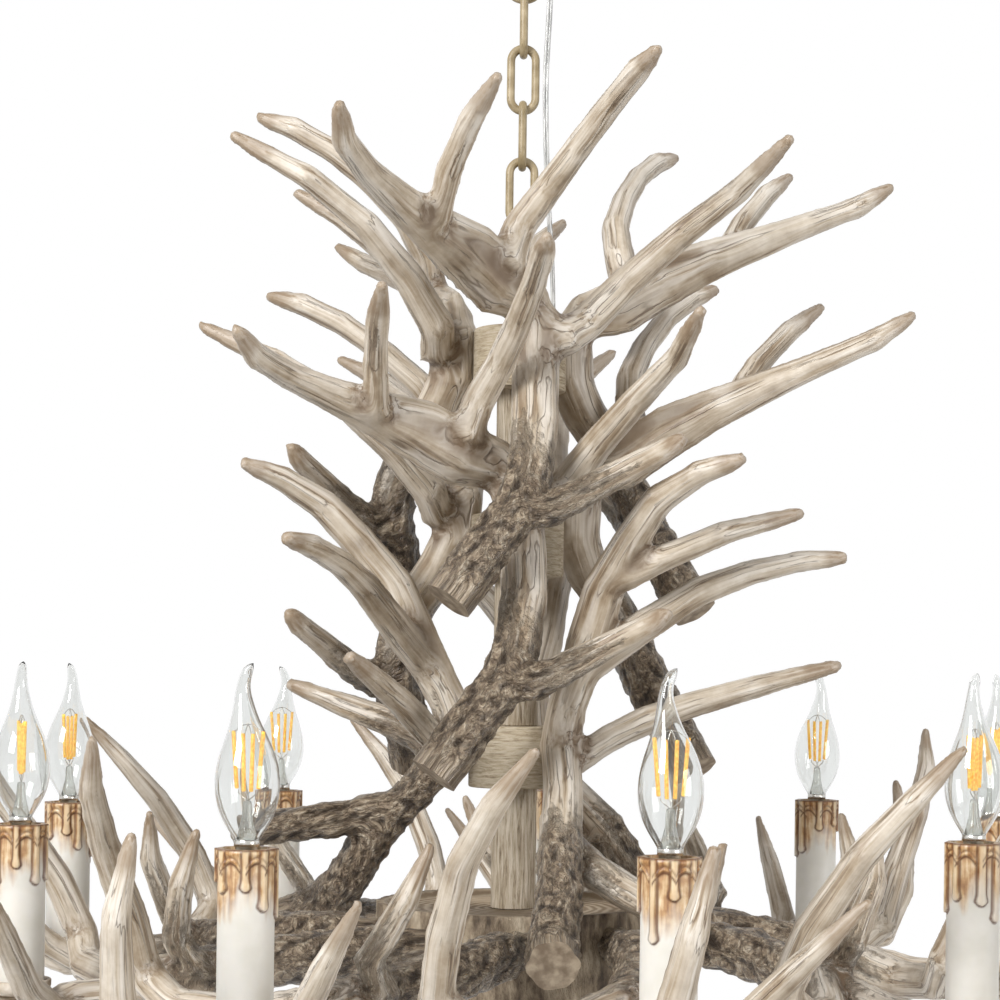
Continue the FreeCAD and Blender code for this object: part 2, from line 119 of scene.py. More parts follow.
def new_material(name, **shader):
    """A material with a Principled shader; returns the material, its tree and the shader."""
    material = bpy.data.materials.new(name)
    material.use_nodes = True
    tree = material.node_tree
    principled = tree.nodes["Principled BSDF"]
    feed(tree, principled, {key.replace("_", " "): value for key, value in shader.items()})
    return material, tree, principled


print("bone in linear light:", [round(part, 3) for part in ink("#E0D7CA")[:3]])

# %% [markdown]
# ## Cast and glazed antler resin
# The antlers are cast polyresin, painted bone-cream and then wiped over with a thin brown glaze. The glaze
# stays in the grooves that run along every tine, gathers in the forks and makes the tips darker; the brown in
# the grooves and the forks is painted shade as well. The pattern follows the limb and not the room, so each
# point of a casting carries what it needs: "round", its direction out from the limb; "along", its distance
# from the foot; "thin" and "hollow", how tightly the surface bends outwards or inwards; "cavity", how deep it
# lies in a groove; and "bark". Noise read at (round, along) draws streaks that run with the limb wherever it
# turns. Each colour is laid over the last by a factor, as paint is.
# A Map Range node's inputs 0 to 4 are the value, the range it comes from and the range it goes to, and a
# colour Mix node's inputs 0, 6 and 7 are the factor and the two colours.

# %% Bone and glaze
def limb_noise(tree, around, along, times, run_mm, detail, rough=0.55, bend=0.0):
    """Noise that is times features round the limb and run_mm long along it; 4-D noise scales both alike."""
    way = add_node(tree, "Math", {0: along, 1: 1000 / run_mm / times}, operation="MULTIPLY")
    return add_node(tree, "TexNoise", {"Vector": around, "W": way, "Scale": times, "Detail": detail,
                                       "Roughness": rough, "Distortion": bend}, noise_dimensions="4D")


def bone_and_glaze(tree, around, along, thin, hollow, cavity, broad):
    """The colour of the smooth skin, with the streaks and the fine lines that its relief follows too."""
    place = add_node(tree, "TexCoord").outputs["Object"]
    streak = limb_noise(tree, around, along, 2.6, 110, 3, 0.6, 0.3)
    vein = limb_noise(tree, around, along, 2.2, 150, 2, 0.5, 0.1)
    hair = limb_noise(tree, around, along, 7, 60, 2, 0.6)
    patches = add_node(tree, "TexNoise", {"Vector": place, "Scale": 1000 / 38.46, "Detail": 5,
                                          "Roughness": 0.62})

    # bone, the wiped streaks over it, and fine hairs
    bone = add_node(tree, "ValToRGB", {"Fac": patches},
                    ((0.32, "#816D55"), (0.42, "#A89780"), (0.55, "#C9BCA9"), (0.68, "#E0D7CA")))
    wiped = add_node(tree, "ValToRGB", {"Fac": streak},
                     ((0.34, "#67523D"), (0.42, "#9A866E"), (0.49, "#C6B9A7"), (0.58, "#E3DBD0")))
    where_wiped = add_node(tree, "MapRange", {0: broad, 1: 0.38, 2: 0.6, 3: 0.85, 4: 0.25})
    washed = add_node(tree, "Mix", {0: where_wiped, 6: bone, 7: wiped}, data_type="RGBA")
    where_hair = add_node(tree, "MapRange", {0: hair, 1: 0.45, 2: 0.35, 3: 0, 4: 0.2})
    glazed = add_node(tree, "Mix", {0: where_hair, 6: washed, 7: ink("#8A7761")}, data_type="RGBA")

    # thin dark lines where one noise crosses its middle value, on some stretches only and not on the tips
    from_vein = add_node(tree, "Math", {0: vein, 1: 0.5}, operation="SUBTRACT")
    off_line = add_node(tree, "Math", {0: from_vein}, operation="ABSOLUTE")
    line = add_node(tree, "MapRange", {0: off_line, 1: 0.020, 2: 0.004})
    for value, low, high in ((broad, 0.56, 0.46), (thin, 0.9, 0.4)):
        kept = add_node(tree, "MapRange", {0: value, 1: low, 2: high})
        line = add_node(tree, "Math", {0: line, 1: kept}, operation="MULTIPLY")

    # the glaze: faint in the lines, more in the grooves and the forks, where that brown is also painted shade,
    # and a tan wash on the tips
    faint = add_node(tree, "Math", {0: line, 1: 0.6}, operation="MULTIPLY")
    groove_glaze_and_shade = add_node(tree, "MapRange", {0: cavity, 1: 0.2, 2: 1.0, 3: 0, 4: 0.5})
    forks = add_node(tree, "MapRange", {0: hollow, 1: 0.05, 2: 0.9, 3: 0, 4: 0.85})
    held = add_node(tree, "MapRange", {0: streak, 1: 0.62, 2: 0.42, 3: 0.5, 4: 1})
    fork_glaze_and_shade = add_node(tree, "Math", {0: forks, 1: held}, operation="MULTIPLY")
    tips = add_node(tree, "MapRange", {0: thin, 1: 0.6, 2: 1.0, 3: 0, 4: 0.6})
    # the brown in the grooves and the forks is glaze and painted shade together
    for factor, code in ((faint, "#55422E"), (groove_glaze_and_shade, "#65533F"), (fork_glaze_and_shade, "#6A5540"), (tips, "#8C765E")):
        glazed = add_node(tree, "Mix", {0: factor, 6: glazed, 7: ink(code)}, data_type="RGBA")
    return glazed, streak, line


# %% [markdown]
# Bark is the same resin with a rough skin: pale lumps that the wiping left clean, dark seams between them, and
# the darkest brown, a painted shade, where the mesh itself goes in. It stops at a ragged edge some way up the
# beam, so a noise is added to how much bark a point has before that is made a sharp step.

# %% Bark
def bark_rind(tree, around, along, bark, cavity, broad):
    """The bark's colour, its lumps and the seams between them, and where it covers the skin."""
    lump = limb_noise(tree, around, along, 4.6, 4.5, 4, 0.6, 0.3)
    seam = limb_noise(tree, around, along, 3.4, 9, 3, 0.6, 0.8)
    from_seam = add_node(tree, "Math", {0: seam, 1: 0.5}, operation="SUBTRACT")
    ridge = add_node(tree, "Math", {0: from_seam}, operation="ABSOLUTE")
    rind = add_node(tree, "ValToRGB", {"Fac": lump},
                    ((0.30, "#4E4034"), (0.42, "#7C6B58"), (0.54, "#9F8E78"), (0.67, "#C6B8A4")))
    crack = add_node(tree, "MapRange", {0: ridge, 1: 0.04, 2: 0.0, 3: 0, 4: 0.6})
    # the darkest brown where the mesh goes in is painted shade
    deep = add_node(tree, "MapRange", {0: cavity, 1: 0.1, 2: 0.9, 3: 0, 4: 0.85})
    for factor, code in ((crack, "#4A3B2F"), (deep, "#362A20")):
        rind = add_node(tree, "Mix", {0: factor, 6: rind, 7: ink(code)}, data_type="RGBA")
    both = add_node(tree, "Math", {0: lump, 1: broad}, operation="ADD")
    ragged = add_node(tree, "MapRange", {0: both, 1: 0.7, 2: 1.3, 3: -0.42, 4: 0.42})
    edge = add_node(tree, "Math", {0: bark, 1: ragged}, operation="ADD")
    sharp = add_node(tree, "MapRange", {0: edge, 1: 0.25, 2: 0.8})
    allowed = add_node(tree, "MapRange", {0: bark, 1: 0.02, 2: 0.25})
    cover = add_node(tree, "Math", {0: sharp, 1: allowed}, operation="MULTIPLY")
    return rind, lump, ridge, cover


# %% [markdown]
# Skin and bark are mixed by that cover, in colour, in relief and in gloss. The relief here is only what is too
# fine for the mesh. It fades out on the thin tips, where so many lines would meet that they turn to grit. The
# sawn foot has a material of its own, which reads "ring", the distance from the middle of the cut.

# %% The antler's two materials
def glazed_resin():
    """Cast and wiped: a satin skin like sanded bone, brown in every low place from glaze and painted shade, and
    bark at the foot.
    """
    material, tree, shader = new_material("glazed_antler_resin", Roughness=0.45)
    around = add_node(tree, "Attribute", attribute_name="round").outputs["Vector"]
    along, thin, hollow, bark, cavity = (
        add_node(tree, "Attribute", attribute_name=name).outputs["Fac"]
        for name in ("along", "thin", "hollow", "bark", "cavity"))
    broad = limb_noise(tree, around, along, 1.2, 60, 4)
    glazed, streak, line = bone_and_glaze(tree, around, along, thin, hollow, cavity, broad)
    rind, lump, ridge, cover = bark_rind(tree, around, along, bark, cavity, broad)
    colour = add_node(tree, "Mix", {0: cover, 6: glazed, 7: rind}, data_type="RGBA")
    sunk_line = add_node(tree, "Math", {0: line, 1: -0.25}, operation="MULTIPLY")
    streaky = add_node(tree, "Math", {0: streak, 1: 0.5, 2: sunk_line}, operation="MULTIPLY_ADD")
    quiet = add_node(tree, "MapRange", {0: thin, 1: 0.1, 2: 0.7, 3: 1.0, 4: 0.1})
    smooth_relief = add_node(tree, "Math", {0: streaky, 1: quiet}, operation="MULTIPLY")
    ridged = add_node(tree, "MapRange", {0: ridge, 1: 0.0, 2: 0.07, 3: 0, 4: 0.8})
    rough_relief = add_node(tree, "Math", {0: lump, 1: 2.8, 2: ridged}, operation="MULTIPLY_ADD")
    height = add_node(tree, "Mix", {0: cover, 2: smooth_relief, 3: rough_relief}, data_type="FLOAT")
    relief = add_node(tree, "Bump", {"Height": height, "Strength": 0.8, "Distance": 2.8 * MM})
    satin = add_node(tree, "MapRange", {0: bark, 1: 0, 2: 1, 3: 0.32, 4: 0.26})
    gloss = add_node(tree, "Math", {0: streak, 1: 0.2, 2: satin}, operation="MULTIPLY_ADD")
    feed(tree, shader, {"Base Color": colour, "Normal": relief, "Roughness": gloss})
    return material


def sawn_end():
    """Sawn across: a face duller and flatter than the skin, with growth rings round a dark pith."""
    material, tree, shader = new_material("sawn_antler_end", Roughness=0.6)
    place = add_node(tree, "TexCoord").outputs["Object"]
    from_pith = add_node(tree, "Attribute", attribute_name="ring").outputs["Fac"]
    cloud = add_node(tree, "TexNoise", {"Vector": place, "Scale": 1000 / 8.333, "Detail": 4})
    bent = add_node(tree, "Math", {0: cloud, 1: 9}, operation="MULTIPLY")
    wobble = add_node(tree, "Math", {0: from_pith, 1: 2 * math.pi / (3.307 * MM), 2: bent},
                      operation="MULTIPLY_ADD")
    wave = add_node(tree, "Math", {0: wobble}, operation="SINE")
    rings = add_node(tree, "MapRange", {0: wave, 1: -1, 2: 1, 3: 0, 4: 0.4})
    near = add_node(tree, "Math", {0: cloud, 1: 6 * MM, 2: from_pith}, operation="MULTIPLY_ADD")
    pith = add_node(tree, "MapRange", {0: near, 1: 11 * MM, 2: 4 * MM, 3: 0, 4: 0.7})
    face = add_node(tree, "ValToRGB", {"Fac": cloud}, ((0.35, "#7B6A57"), (0.6, "#A99983")))
    for factor, code in ((rings, "#6D5C49"), (pith, "#4E3F32")):
        face = add_node(tree, "Mix", {0: factor, 6: face, 7: ink(code)}, data_type="RGBA")
    relief = add_node(tree, "Bump", {"Height": cloud, "Strength": 0.6, "Distance": 2 * MM})
    feed(tree, shader, {"Base Color": face, "Normal": relief})
    return material


ANTLER_RESIN = glazed_resin()
SAWN_END = sawn_end()
print("antler resin:", len(ANTLER_RESIN.node_tree.nodes), "nodes")

# %% [markdown]
# ## From a faceted casting to an antler
# A sculptor would voxel-remesh the blank and smooth it. The same is done here: the node's mesh is copied and
# merged, remeshed on a fine grid, and averaged over its neighbours until the flat sides turn round. Plain
# averaging would thin the tines, so each step inwards is followed by one outwards. A few plain steps are then
# tried on the side: how far they would pull each point in says how tightly the surface bends there. It is
# large at the tips and negative in the forks, so it also says where the glaze goes and where shade is painted.

# %% Neighbours, averages and distances over a mesh
def coordinates(mesh):
    flat = np.empty(len(mesh.vertices) * 3, np.float32)
    mesh.vertices.foreach_get("co", flat)
    return flat.reshape(-1, 3).astype(float)


def directions(mesh):
    flat = np.empty(len(mesh.vertices) * 3, np.float32)
    mesh.vertices.foreach_get("normal", flat)
    return flat.reshape(-1, 3).astype(float)


def move_to(mesh, points):
    mesh.vertices.foreach_set("co", points.astype(np.float32).ravel())
    mesh.update()


def neighbours(mesh):
    """For every point its neighbours, the quads' diagonals among them, as one sorted list."""
    corners = np.empty(len(mesh.loops), np.int64)
    mesh.loops.foreach_get("vertex_index", corners)
    starts = np.empty(len(mesh.polygons), np.int64)
    mesh.polygons.foreach_get("loop_start", starts)
    quads = corners[starts[:, None] + np.arange(4)]
    pairs = [quads[:, [i, (i + 1) % 4]] for i in range(4)] + [quads[:, [0, 2]], quads[:, [1, 3]]]
    ends = np.unique(np.sort(np.concatenate(pairs), axis=1), axis=0)
    ends = np.concatenate([ends, ends[:, ::-1]])
    ends = ends[np.argsort(ends[:, 0], kind="stable")]
    first = np.searchsorted(ends[:, 0], np.arange(len(mesh.vertices)))
    count = np.bincount(ends[:, 0], minlength=len(mesh.vertices))
    return ends, first, count


def averaged(values, net, times, step=0.6):
    """Values moved towards the mean of their neighbours, a number of times."""
    ends, first, count = net
    shape = (-1,) + (1,) * (values.ndim - 1)
    for _ in range(times):
        mean = np.add.reduceat(values[ends[:, 1]], first, axis=0) / count.reshape(shape)
        values = (1 - step) * values + step * mean
    return values


def rounded(points, net, times):
    """Smoothing that keeps the girth: each step inwards is followed by one of about the same size outwards."""
    for _ in range(times):
        points = averaged(averaged(points, net, 1, 0.6), net, 1, -0.62)
    return points


def walked(points, net, seeds):
    """The distance over the surface from the seeds."""
    ends, first, _ = net
    length = np.linalg.norm(points[ends[:, 0]] - points[ends[:, 1]], axis=1)
    far = np.full(len(points), 1e3)
    far[seeds] = 0
    while True:
        nearer = np.minimum(far, np.minimum.reduceat(far[ends[:, 1]] + length, first))
        if np.abs(far - nearer).max() < 1e-7:
            return nearer
        far = nearer


def unit(vectors):
    return vectors / np.maximum(np.linalg.norm(vectors, axis=1, keepdims=True), 1e-9)


# %% [markdown]
# Bark and grooves deep enough to show on the outline are moved into the mesh. They need a noise that numpy
# can work out: random numbers on a lattice, blended between its corners, and drawn from a fixed seed.

# %% Noise on a lattice
LATTICE = np.random.default_rng(7).random((32, 32, 32))
print("lattice mean %.3f" % LATTICE.mean())


def lattice_noise(places):
    """Smooth noise from 0 to 1 with features one unit wide."""
    base = np.floor(places).astype(int)
    part = places - base
    part = part * part * (3 - 2 * part)
    total = np.zeros(len(places))
    for dx in (0, 1):
        for dy in (0, 1):
            for dz in (0, 1):
                weight = np.ones(len(places))
                for axis, step in enumerate((dx, dy, dz)):
                    weight *= part[:, axis] if step else 1 - part[:, axis]
                total += weight * LATTICE[tuple((base + (dx, dy, dz)).T % 32)]
    return total


def layered_noise(places, layers=3):
    total, amount = np.zeros(len(places)), 0
    for layer in range(layers):
        total += lattice_noise(places * 2.03 ** layer + 5.2 * layer) / 1.7 ** layer
        amount += 1 / 1.7 ** layer
    return total / amount


# %% [markdown]
# The foot of a casting is found on the blank itself: it is the lowest flat end with six sides or more, or for
# an arm the faces that lie against the hub. Rounding would melt that end away, so it is first drawn out. On
# an arm it then runs on into the hub. On the other antlers the extra length is sawn off again at the end,
# which leaves the crisp sawn face that the real casting has.

# %% The foot of a casting
GRID = 2.3 * MM
PLAIN_STEPS = 6
ROUNDING = 26
SHRINK_STEPS = 8
TIP_SWELL = 1.6 * MM
ARM_TIP_SWELL = 0.5 * MM
DRAWN_OUT = 14 * MM


def link(name, mesh):
    piece = bpy.data.objects.new(name, mesh)
    bpy.context.scene.collection.objects.link(piece)
    return piece


def smooth_shaded(mesh):
    mesh.polygons.foreach_set("use_smooth", [True] * len(mesh.polygons))
    mesh.update()


def draw_out(blank, faces, step):
    """Lengthens a blank by moving the faces of its foot outwards."""
    grown = bmesh.ops.extrude_face_region(blank, geom=faces)["geom"]
    bmesh.ops.translate(blank, verts=[g for g in grown if isinstance(g, bmesh.types.BMVert)], vec=step)
    old = [f for f in faces if f.is_valid]
    bmesh.ops.delete(blank, geom=old, context="FACES_ONLY")


def foot_of(blank, is_arm):
    """Faces, centre, outward direction and reach of the foot."""
    if is_arm:
        inner = min(math.hypot(v.co.x, v.co.y) for v in blank.verts)
        faces = [f for f in blank.faces if all(math.hypot(v.co.x, v.co.y) < inner + 0.004 for v in f.verts)]
    else:
        ends = [f for f in blank.faces if len(f.verts) >= 6 and f.calc_area() > 0.0002]
        faces = [min(ends, key=lambda f: f.calc_center_median().z)]
    area = sum(f.calc_area() for f in faces)
    centre = sum((f.calc_center_median() * f.calc_area() for f in faces), Vector()) / area
    outward = sum((f.normal * f.calc_area() for f in faces), Vector()).normalized()
    return faces, centre, outward, math.sqrt(area / math.pi)


def saw_off(mesh, centre, outward, reach):
    """Cuts the drawn-out foot back to its plane and closes it with a sawn face."""
    saw = bmesh.new()
    saw.from_mesh(mesh)
    near = [f for f in saw.faces if (f.calc_center_median() - centre).length < reach * 1.2 + DRAWN_OUT * 1.6]
    around = list(dict.fromkeys([e for f in near for e in f.edges] + [v for f in near for v in f.verts]))
    bmesh.ops.bisect_plane(saw, geom=near + around, plane_co=centre, plane_no=outward, dist=0.00005,
                           clear_outer=True)
    rim = [e for e in saw.edges if e.is_boundary and (e.verts[0].co - centre).length < reach * 1.8]
    closed = bmesh.ops.edgeloop_fill(saw, edges=rim)["faces"]
    ring = saw.verts.layers.float.get("ring")
    for edge in rim:
        edge.smooth = False
        for corner in edge.verts:
            corner[ring] = (corner.co - centre).length
    poked = bmesh.ops.poke(saw, faces=closed)
    for face in poked["faces"]:
        face.material_index = 1
        if face.normal.dot(outward) < 0:
            face.normal_flip()
    saw.to_mesh(mesh)
    saw.free()
    mesh.update()


# %% [markdown]
# The blank for each casting is the node's own mesh, copied. Its points are merged, because a CAD node is loose
# triangles, and flat faces that were cut in triangles are joined again before the even grid is laid over it.

# %% The blank on an even grid
def gridded(node, is_arm):
    """A node's blank, drawn out at its foot and remeshed evenly, and the foot's place, way and reach."""
    blank = bmesh.new()
    blank.from_mesh(NODES[node].data)
    bmesh.ops.remove_doubles(blank, verts=blank.verts, dist=0.02 * MM)
    bmesh.ops.dissolve_limit(blank, angle_limit=math.radians(0.6), verts=blank.verts, edges=blank.edges)
    faces, centre, outward, reach = foot_of(blank, is_arm)
    draw_out(blank, faces, outward * DRAWN_OUT)
    mesh = bpy.data.meshes.new(node + "_cast")
    blank.to_mesh(mesh)
    blank.free()
    piece = link(node + "_cast", mesh)
    grid = piece.modifiers.new("grid", "REMESH")
    grid.mode = "VOXEL"
    grid.voxel_size = GRID
    even = bpy.data.meshes.new_from_object(piece.evaluated_get(bpy.context.evaluated_depsgraph_get()))
    piece.modifiers.clear()
    piece.data = even
    bpy.data.meshes.remove(mesh)
    return piece, centre, outward, reach


# %% [markdown]
# The bark and the grooves are worked out for every point as a depth along its own direction out. The noise is
# read at the direction round the limb and the distance along it, so a groove runs with the limb. Bark is
# deep near the foot and ends in a ragged edge; grooves are shallow, and leave the tips alone.

# %% Bark, grooves and a whole casting
GROOVE_RUN = 55 * MM
KNOT_RUN = 6.5 * MM
GROOVE_DRIFT = (0.31, 0.22, 0.93)
KNOT_DRIFT = (0.22, 0.31, 0.93)
BARK_FADE = 75 * MM
RAGGED = 80 * MM
KNOT_HEIGHT = 7.2 * MM
RIDGE_HEIGHT = 3.4 * MM
BARK_SET_BACK = 2.6 * MM
GROOVE_DEPTH = 2.0 * MM
LINE_DEPTH = 0.4 * MM
FULL_CAVITY = 0.6 * MM


def bark_and_grooves(along, around, thin, bark_from_foot, is_arm):
    """How far each point moves out, and how much bark it has."""
    limb_place = around * 3.0 + np.outer(along / GROOVE_RUN, GROOVE_DRIFT)
    bark_place = around * 4.0 + np.outer(along / KNOT_RUN, KNOT_DRIFT)
    edge = RAGGED * (layered_noise(limb_place * 1.3) - 0.5)
    bark = np.clip((bark_from_foot - along - edge) / BARK_FADE + 0.5, 0, 1)
    knots = layered_noise(bark_place, 4)
    ridges = np.abs(2 * layered_noise(bark_place * 0.8 + 9, 3) - 1)
    grooves = layered_noise(limb_place, 3)
    lines = np.clip(1 - np.abs(2 * layered_noise(limb_place * 0.8 + 4, 3) - 1) / 0.12, 0, 1)
    at_foot = 1 if is_arm else np.clip(along / 0.03 + 0.25, 0.25, 1)
    rough = np.clip(bark * 1.5 - 0.2, 0, 1) * at_foot
    barked = rough * (KNOT_HEIGHT * (knots - 0.5) + RIDGE_HEIGHT * np.clip(ridges / 0.25, 0, 1) - BARK_SET_BACK)
    grooved = (1 - 0.5 * rough) * (GROOVE_DEPTH * (grooves - 0.5) - LINE_DEPTH * lines)
    return barked + grooved * np.clip(1.0 - 1.2 * thin, 0, 1), bark


def cast(node, bark_from_foot):
    """The antler for a node, with what its material reads; bark_from_foot is how far the bark runs."""
    is_arm = node.startswith("arm")
    piece, centre, outward, reach = gridded(node, is_arm)
    mesh = piece.data
    net = neighbours(mesh)
    blocky = coordinates(mesh)
    points = rounded(averaged(blocky, net, PLAIN_STEPS), net, ROUNDING)
    move_to(mesh, points)
    out = unit(averaged(directions(mesh), net, 3))
    points = points + out * averaged(((blocky - points) * out).sum(axis=1), net, 14)[:, None]
    shrunk = averaged(points, net, SHRINK_STEPS)
    loss = averaged(((points - shrunk) * out).sum(axis=1), net, 6)

    seeds = np.linalg.norm(points - np.array(centre), axis=1) < max(reach * 1.25, 0.02)
    along = averaged(walked(points, net, seeds), net, 10)
    around = averaged(out, net, 4)
    thin = np.clip((averaged(loss, net, 4) * 1000 - 0.75) / 0.4, 0, 1)
    broad_loss = averaged(loss, net, 8) * 1000
    hollow = np.clip((0.40 - broad_loss) / 0.38, 0, 1)

    depth, bark = bark_and_grooves(along, around, thin, bark_from_foot, is_arm)
    depth = averaged(depth, net, 2)
    cavity = np.clip((averaged(depth, net, 6) - depth) / FULL_CAVITY, 0, 1)
    points = points + out * (depth + (ARM_TIP_SWELL if is_arm else TIP_SWELL) * thin)[:, None]
    move_to(mesh, points)

    for name, values in (("along", along), ("thin", thin), ("hollow", hollow), ("bark", bark),
                         ("cavity", cavity), ("ring", np.zeros(len(points)))):
        mesh.attributes.new(name, "FLOAT", "POINT").data.foreach_set("value", values.astype(np.float32))
    mesh.attributes.new("round", "FLOAT_VECTOR", "POINT").data.foreach_set(
        "vector", around.astype(np.float32).ravel())
    smooth_shaded(mesh)
    mesh.materials.clear()
    mesh.materials.append(ANTLER_RESIN)
    mesh.materials.append(SAWN_END)
    if not is_arm:
        saw_off(mesh, centre, outward, reach)
    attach(piece, LAMP_BODY)
    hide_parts(node)
    return piece, float(thin.mean()), float(np.percentile(broad_loss, 10))


# %% [markdown]
# Now the castings are made, each from its node. How far the bark runs was read from the photograph: it covers
# the foot of each beam, and nearly half of an arm.

# %% The castings
BARK_RUN = {"upper": 0.10, "middle": 0.10, "lower": 0.09, "arm": 0.15, "lower_antler_left": 0.17}
for node in sorted(NODES):
    kind = node.split("_")[0]
    if kind in BARK_RUN and "antler" in node:
        piece, mean_thin, low_loss = cast(node, BARK_RUN.get(node, BARK_RUN[kind]))
        print(node, len(piece.data.polygons), "faces, thin %.2f, loss %.2f" % (mean_thin, low_loss))

# %% [markdown]
# ## Turned pieces
# The collars, tubes, cups, sleeves and the canopy are round. Each is a half outline in the XZ plane, spun
# about its own axis with bmesh. The outline is given as radius and height in millimetres, so that it reads
# like a turner's drawing.

# %% A piece spun from its outline
def spun(name, outline, centre=(0, 0), steps=48, closed=False):
    """A round piece from (radius, height) points in mm; closed joins the last point to the first."""
    turned = bmesh.new()
    corners = [turned.verts.new((radius * MM, 0, height * MM)) for radius, height in outline]
    runs = list(zip(corners, corners[1:])) + ([(corners[-1], corners[0])] if closed else [])
    for start, end in runs:
        turned.edges.new((start, end))
    bmesh.ops.spin(turned, geom=turned.verts[:] + turned.edges[:], cent=(0, 0, 0), axis=(0, 0, 1),
                   angle=2 * math.pi, steps=steps, use_merge=True)
    bmesh.ops.remove_doubles(turned, verts=turned.verts, dist=0.000005)
    bmesh.ops.recalc_face_normals(turned, faces=turned.faces)
    bmesh.ops.translate(turned, verts=turned.verts, vec=(centre[0], centre[1], 0))
    mesh = bpy.data.meshes.new(name)
    turned.to_mesh(mesh)
    turned.free()
    smooth_shaded(mesh)
    return link(name, mesh)


def soft_edges(piece, width, segments=3, angle=40):
    bevel = piece.modifiers.new("soft_edges", "BEVEL")
    bevel.width = width
    bevel.segments = segments
    bevel.limit_method = "ANGLE"
    bevel.angle_limit = math.radians(angle)
    bevel.harden_normals = False
    return piece


def dress(piece, material, body=LAMP_BODY, node=None):
    """Material, body and the node that it stands for."""
    piece.data.materials.clear()
    piece.data.materials.append(material)
    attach(piece, body)
    if node:
        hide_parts(node)
    return piece


# %% [markdown]
# ## The column
# The collars and tubes are resin, moulded to look like sawn and weathered wood: fine fibres and a dry tan
# colour. On the collars the fibres lie in short arcs round the piece; on the tubes they run down it. Noise
# stretched along one direction gives both.

# %% Wood-grained resin and the column
def grained_resin(name, fibre_mm, pale, mid, dark):
    """Moulded to sawn wood and dry-brushed: matt, with pale fibres standing out of a darker ground."""
    material, tree, shader = new_material(name, Roughness=0.72)
    place = add_node(tree, "TexCoord").outputs["Object"]
    scaled = add_node(tree, "Mapping", {"Vector": place, "Scale": [1000 / size for size in fibre_mm]})
    fibre = add_node(tree, "TexNoise", {"Vector": scaled, "Scale": 1.0, "Detail": 6, "Roughness": 0.7,
                                        "Distortion": 0.4})
    patches = add_node(tree, "TexNoise", {"Vector": place, "Scale": 1000 / 33.33, "Detail": 2})
    grain = add_node(tree, "ValToRGB", {"Fac": fibre}, ((0.33, dark), (0.47, mid), (0.62, pale)))
    stained = add_node(tree, "MapRange", {0: patches, 1: 0.4, 2: 0.7, 3: 0, 4: 0.3})
    colour = add_node(tree, "Mix", {0: stained, 6: grain, 7: ink(dark)}, data_type="RGBA")
    relief = add_node(tree, "Bump", {"Height": fibre, "Strength": 0.8, "Distance": 1.6 * MM})
    feed(tree, shader, {"Base Color": colour, "Normal": relief})
    return material


COLLAR_RESIN = grained_resin("grained_collar_resin", (11.111, 11.111, 1.4286), "#CFC3AE", "#B8A98F", "#877660")
TUBE_RESIN = grained_resin("grained_tube_resin", (1.9231, 1.9231, 23.81), "#D6CBB9", "#B5A68F", "#6E5D48")


def heights(node):
    low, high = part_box(node)
    return low.z / MM, high.z / MM, max(-low.x, high.x) / MM


def turned_column(node, collar_height, tube_radius, bore=6.0):
    """A collar with its tube under it, or either one alone."""
    bottom, top, widest = heights(node)
    step = top - collar_height
    stepped = collar_height > 0 and step - bottom >= 1
    waist = [(widest, step), (tube_radius, step), (tube_radius, bottom)] if stepped else [(widest, bottom)]
    outline = [(bore, top), (widest, top), *waist, (bore, bottom)]
    piece = soft_edges(spun(node + "_turned", outline, closed=True), 1.2 * MM)
    dress(piece, TUBE_RESIN if collar_height == 0 else COLLAR_RESIN, node=node)
    if stepped:
        piece.data.materials.append(TUBE_RESIN)
        for face in piece.data.polygons:
            face.material_index = int(face.center.z < (step - 0.5) * MM)
    return piece


COLLAR_HEIGHT = 41
TUBE_RADIUS = 15
for node, collar in (("upper_spindle", COLLAR_HEIGHT), ("middle_spindle", COLLAR_HEIGHT),
                     ("lower_collar", COLLAR_HEIGHT), ("lower_tube", 0)):
    turned_column(node, collar, TUBE_RADIUS)
print("column from %.0f to %.0f mm" % (heights("upper_spindle")[1], heights("lower_tube")[0]))

# %% [markdown]
# ## The hub
# The hub is a slice through a barked trunk: a smooth tan top, slightly dished, and a side of rough bark that
# the arms grow out of. The outline is spun with many steps, and the side is pushed in and out by the same
# noise as the antlers' bark.

# %% Hub
def hub_resin():
    """Cast from a trunk slice: a matt tan face with faint rings, and a side of dark, knobbly bark."""
    material, tree, shader = new_material("barked_hub_resin", Roughness=0.7)
    place = add_node(tree, "TexCoord").outputs["Object"]
    bark = add_node(tree, "Attribute", attribute_name="bark").outputs["Fac"]
    upright = add_node(tree, "Mapping", {"Vector": place, "Scale": (1.0, 1.0, 0.35)})
    knobs = add_node(tree, "TexNoise", {"Vector": upright, "Scale": 1000 / 11.111, "Detail": 6,
                                        "Roughness": 0.66})
    rind = add_node(tree, "ValToRGB", {"Fac": knobs},
                    ((0.34, "#45382B"), (0.45, "#756552"), (0.55, "#9C8C76"), (0.68, "#BDAE98")))
    squash = add_node(tree, "Mapping", {"Vector": place, "Scale": (1, 1, 0)})
    # a wave's rings lie pi / 10 / scale apart, here 6.8 mm
    rings = add_node(tree, "TexWave", {"Vector": squash, "Scale": math.pi / 10 / (6.8295 * MM), "Distortion": 5,
                                       "Detail": 3}, wave_type="RINGS", rings_direction="Z").outputs["Fac"]
    sawn = add_node(tree, "ValToRGB", {"Fac": rings}, ((0.1, "#8C7860"), (0.6, "#AE9C84"), (0.9, "#BFAF99")))
    colour = add_node(tree, "Mix", {0: bark, 6: sawn, 7: rind}, data_type="RGBA")
    rougher = add_node(tree, "Math", {0: bark, 1: 0.15}, operation="ADD")
    shallow = add_node(tree, "Math", {0: rings, 1: 0.08}, operation="MULTIPLY")
    height = add_node(tree, "Math", {0: knobs, 1: rougher, 2: shallow}, operation="MULTIPLY_ADD")
    relief = add_node(tree, "Bump", {"Height": height, "Strength": 0.9, "Distance": 5 * MM})
    feed(tree, shader, {"Base Color": colour, "Normal": relief})
    return material


